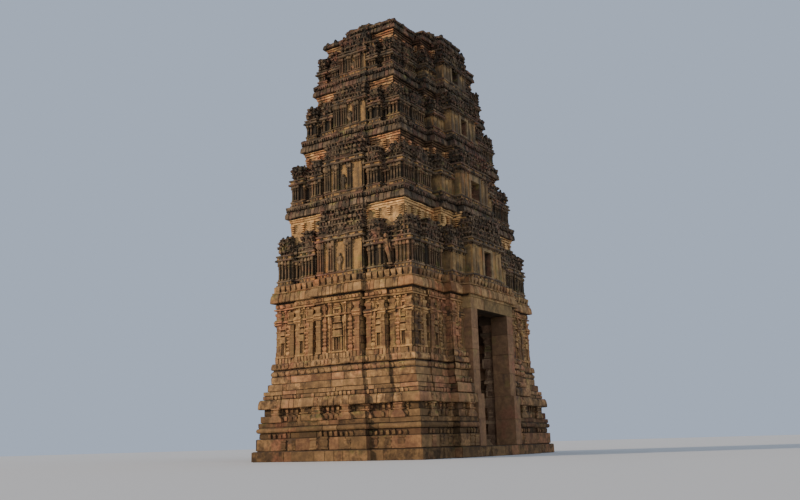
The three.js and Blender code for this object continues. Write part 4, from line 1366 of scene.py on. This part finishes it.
def strip_courses(tier, seed):
    """The bare strip over the pavilion roofs, and its bracket heads and corbelled courses.

    On the lowest tier its plaster is whole, so the band has no joints; above it the bricks show."""
    surface = Surface(seed)
    core = edges_of(core_outline(tier))
    foot, top = tier.roof_top - 0.5, tier.eave_foot
    corbel = top - 0.34
    plastered = tier is TIERS[0]
    brick, corbel_stone = (9.0, 0.9) if plastered else (0.38, 0.35)
    # Painted shade on the bare brick of the long faces and the short returns; the plaster of the lowest tier
    # has none.
    for edge in core:
        short_face = abs(edge["out"][0]) > 0.5 and edge["length"] > 1.0
        edge["shade"] = 0.0 if plastered or short_face else 0.85
    rows = 1 if plastered else max(2, round((corbel - foot) / 0.12))
    for low, high in pairwise(np.linspace(foot, corbel, rows + 1)):
        surface.course(core, plain_section(low, high, 0.02, 0.1), brick, recess=1.0)
    for step, (low, high) in enumerate(pairwise(np.linspace(corbel, top, 4))):
        section = plain_section(low + 0.012, high - 0.012, 0.05 + 0.04 * step, 0.1)
        surface.course(core, section, corbel_stone, recess=1.0)
    surface.row(core, bars_form(), 0.66, 0.12, corbel - 0.4, (0.2, 0.1, 0.42), 0.02, 0.05, shade_and_dirt=0.7)
    return surface


def window_lining(tier, seed):
    """Plaster on the two sides of a tier's windows, laid in two bands."""
    surface = Surface(seed)
    for side in (-1, 1):
        depth = between(side, tier.portal_plane, tier.portal_plane - LINING_DEPTH)
        hole = rectangle(-tier.window_half, tier.window_half, *depth)[::-1]
        edges = [edge for edge in edges_of(hole) if abs(edge["out"][0]) > 0.5]
        for foot, head in pairwise(np.linspace(tier.window_sill, tier.window_head, 3)):
            surface.course(edges, plain_section(foot, head, 0.012, 0.03), 0.4, 0.002, joint=0.002)
    return surface


# What is left on top, as (x from, x to, y from, y to, height), and the size of its bricks.
BROKEN_STACKS = [
    (-3.5, 3.3, -1.5, 1.45, 0.18), (-2.9, 2.1, -1.25, 1.2, 0.33), (-1.5, 0.7, -2.65, -1.0, 0.24),
    (-1.1, 0.5, -2.35, -0.6, 0.38), (-4.0, -2.6, -0.7, 0.8, 0.26),
]
LOOSE_BRICK = (0.36, 0.24, 0.11)
BRICK_COURSE = 0.09
BRICK_HEIGHT = 0.085
BRICKS_LOOSE = 16


def broken_top(seed):
    """What is left of the brickwork on top: laid courses round each stack, and loose bricks that
    lie turned and tilted on it, so many to the square metre."""
    surface = Surface(seed)
    rng = surface.rng
    top = TIERS[-1].eave_top
    brick = square_stack([(0.5, 0.5, 0.0, 1.0)], 0.5)
    for x0, x1, y0, y1, height in BROKEN_STACKS:
        edges = edges_of(rectangle(x0, x1, y0, y1))
        for step in range(round(height / BRICK_COURSE)):
            foot = top + BRICK_COURSE * step
            section = plain_section(foot, foot + BRICK_HEIGHT, 0.03 - 0.02 * step)
            surface.course(edges, section, 0.34, 0.03, missing=0.1 * step)
        count = round(BRICKS_LOOSE * (x1 - x0) * (y1 - y0))
        flat = np.stack([rng.uniform(x0, x1, count), rng.uniform(y0, y1, count)], axis=1)
        turn = rng.uniform(0, math.pi, count)
        along = np.stack([np.cos(turn), np.sin(turn)], axis=1)
        out = np.stack([np.sin(turn), -np.cos(turn)], axis=1)
        surface.set_out(brick, (flat, along, out), top + height - 0.07, LOOSE_BRICK, (0, 1), 0.12, shade_and_dirt=0.5)
    return surface


# The stage.


def add_camera(lens, place, turn, tilt, roll):
    """A camera from its place, compass turn, upward tilt and roll."""
    ahead = np.array([math.cos(turn), math.sin(turn), 0])
    right = np.array([math.sin(turn), -math.cos(turn), 0])
    view = ahead * math.cos(tilt) + UP * math.sin(tilt)
    over = UP * math.cos(tilt) - ahead * math.sin(tilt)
    right_rolled = right * math.cos(roll) - over * math.sin(roll)
    over_rolled = right * math.sin(roll) + over * math.cos(roll)
    matrix = np.eye(4)
    matrix[:3, 0], matrix[:3, 1], matrix[:3, 2], matrix[:3, 3] = right_rolled, over_rolled, -view, place
    camera = bpy.data.cameras.new("camera")
    camera.lens = lens
    camera.sensor_width = SENSOR_WIDTH
    camera.clip_end = VIEW_REACH
    holder = bpy.data.objects.new("camera", camera)
    bpy.context.scene.collection.objects.link(holder)
    holder.matrix_world = Matrix(matrix.tolist())
    bpy.context.scene.camera = holder


def add_sun(name, way, strength, colour, spread):
    """A sun lamp that shines along a direction."""
    lamp = bpy.data.lights.new(name, "SUN")
    lamp.energy = strength
    lamp.color = colour
    lamp.angle = spread
    holder = bpy.data.objects.new(name, lamp)
    bpy.context.scene.collection.objects.link(holder)
    back = -np.asarray(way, dtype=float) / np.linalg.norm(way)
    side = np.cross(UP, back)
    side /= np.linalg.norm(side)
    matrix = np.eye(4)
    matrix[:3, 0], matrix[:3, 1], matrix[:3, 2] = side, np.cross(back, side), back
    holder.matrix_world = Matrix(matrix.tolist())


class TowerSettings(PropertyGroup):
    """Sizes and colours that a user may change."""

    seed: IntProperty(name="Seed", description="Start of the random wear", default=7)
    stone_wear: FloatProperty(
        name="Stone wear", description="How far worn stone edges wander", default=0.018, unit="LENGTH")
    brick_wear: FloatProperty(
        name="Brick wear", description="How far worn brick and plaster edges wander",
        default=0.025, unit="LENGTH")
    floor_colour: FloatVectorProperty(
        name="Floor", description="Colour of the floor", default=(0.55, 0.54, 0.52), subtype="COLOR")
    lens: FloatProperty(name="Lens", description="Focal length of the camera in millimetres", default=38.2)


class TOWER_OT_looks(Operator):
    """Make the finishes and give them to the pieces of the frame"""

    bl_idname = "tower.looks"
    bl_label = "Finishes"

    def execute(self, context):
        LOOKS.update({key: masonry_look(*recipe) for key, recipe in FINISHES.items()})
        slots = {row["node"]: row["material_slot"] for row in frame["record"]["subparts"]}
        for name, piece in frame["nodes"].items():
            piece.data.materials.clear()
            piece.data.materials.append(LOOKS[SLOT_LOOKS[slots[name]]])
        return {"FINISHED"}


class TOWER_OT_stone_storey(Operator):
    """Lay the base, the pilastered wall and the stone cornice"""

    bl_idname = "tower.stone_storey"
    bl_label = "Stone storey"

    def execute(self, context):
        settings = context.scene.gate_tower
        for offset, (lay, look) in enumerate((
            (base_courses, "base"), (base_carving, "base"), (wall_courses, "sandstone"),
            (wall_carving, "sandstone"), (cornice_courses, "cornice"),
        )):
            surface = lay(settings.seed + offset)
            surface.build(lay.__name__, look, "sandstone", 0.5, settings.stone_wear)
        return {"FINISHED"}


class TOWER_OT_doorways(Operator):
    """Set the jambs, lintels and passage stones"""

    bl_idname = "tower.doorways"
    bl_label = "Doorways and passage"

    def execute(self, context):
        seed = context.scene.gate_tower.seed
        jambs, lintels = doorway_stones(seed + 10)
        jambs.build("door_jamb_stones", "jamb", "jamb", 0.4, 0.006)
        lintels.build("lintel_stones", "lintel", "lintel", 0.4, 0.01)
        passage_stones(seed + 11).build("passage_stones", "passage", "passage", 0.3, 0.008)
        return {"FINISHED"}


class TOWER_OT_tiers(Operator):
    """Raise the pavilions, bare strips and eaves of the brick tiers"""

    bl_idname = "tower.tiers"
    bl_label = "Brick tiers"

    def execute(self, context):
        settings = context.scene.gate_tower
        seed, wear = settings.seed + 20, settings.brick_wear
        for number, tier in enumerate(TIERS):
            own = seed + 10 * number
            bare = "brick" if number else "strip"
            columns, panels, carving = tier_carving(tier, own)
            for part, surface, look, slot, grain, worn in (
                ("columns", columns, "plaster", "render", 0.25, wear / 3),
                ("panels", panels, "panel", "render", 0.25, wear / 3),
                ("carving", carving, "crust", "render", 0.22, wear),
                ("window_lining", window_lining(tier, own + 3), "lining", "render", 0.25, LINING_WEAR),
                ("eave_carving", eave_courses(tier, own + 1), "crust", "eave", 0.25, wear),
                ("bare_strip", strip_courses(tier, own + 2), bare, "brick", 0.25, wear / 2),
            ):
                surface.build(f"{tier.name}_{part}", look, slot, grain, worn)
        broken_top(seed + 90).build("broken_top_bricks", "rubble", "brick", 0.2, wear)
        return {"FINISHED"}


class TOWER_OT_stage(Operator):
    """Set the floor, the lights and the camera"""

    bl_idname = "tower.stage"
    bl_label = "Stage"

    def execute(self, context):
        settings = context.scene.gate_tower
        floor = bpy.data.meshes.new("floor")
        corners = rectangle(-FLOOR_REACH, FLOOR_REACH, -FLOOR_REACH, FLOOR_REACH)
        floor.from_pydata([(*corner, -FLOOR_DROP) for corner in corners], [], [(0, 1, 2, 3)])
        board = Board("plain floor")
        board.plug(board.shader.inputs["Base Color"], tuple(settings.floor_colour))
        board.plug(board.shader.inputs["Roughness"], 0.9)
        floor.materials.append(board.material)
        piece = bpy.data.objects.new("floor", floor)
        context.scene.collection.objects.link(piece)
        add_camera(settings.lens, CAMERA_PLACE, *CAMERA_ANGLES)
        for sun in SUNS:
            add_sun(*sun)
        world = bpy.data.worlds.new("sky")
        world.use_nodes = True
        background = world.node_tree.nodes["Background"]
        background.inputs["Color"].default_value = SKY_COLOUR
        background.inputs["Strength"].default_value = SKY_STRENGTH
        context.scene.world = world
        return {"FINISHED"}


STEPS = [TOWER_OT_looks, TOWER_OT_stone_storey, TOWER_OT_doorways, TOWER_OT_tiers, TOWER_OT_stage]


class TOWER_PT_panel(Panel):
    """Lists the steps of the tower"""

    bl_idname = "TOWER_PT_panel"
    bl_label = "Gate tower"
    bl_space_type = "VIEW_3D"
    bl_region_type = "UI"
    bl_category = "Gate tower"

    def draw(self, context):
        settings = context.scene.gate_tower
        for key in TowerSettings.__annotations__:
            self.layout.prop(settings, key)
        for step in STEPS:
            self.layout.operator(step.bl_idname)


def register():
    """Registers the classes and the settings."""
    for item in (TowerSettings, *STEPS, TOWER_PT_panel):
        bpy.utils.register_class(item)
    bpy.types.Scene.gate_tower = PointerProperty(type=TowerSettings)


def unregister():
    """Takes the classes and the settings away."""
    del bpy.types.Scene.gate_tower
    for item in (TOWER_PT_panel, *reversed(STEPS), TowerSettings):
        bpy.utils.unregister_class(item)


def main():
    """Builds the tower step by step."""
    register()
    for step in STEPS:
        group, name = step.bl_idname.split(".")
        getattr(getattr(bpy.ops, group), name)()


if __name__ == "__main__":
    main()
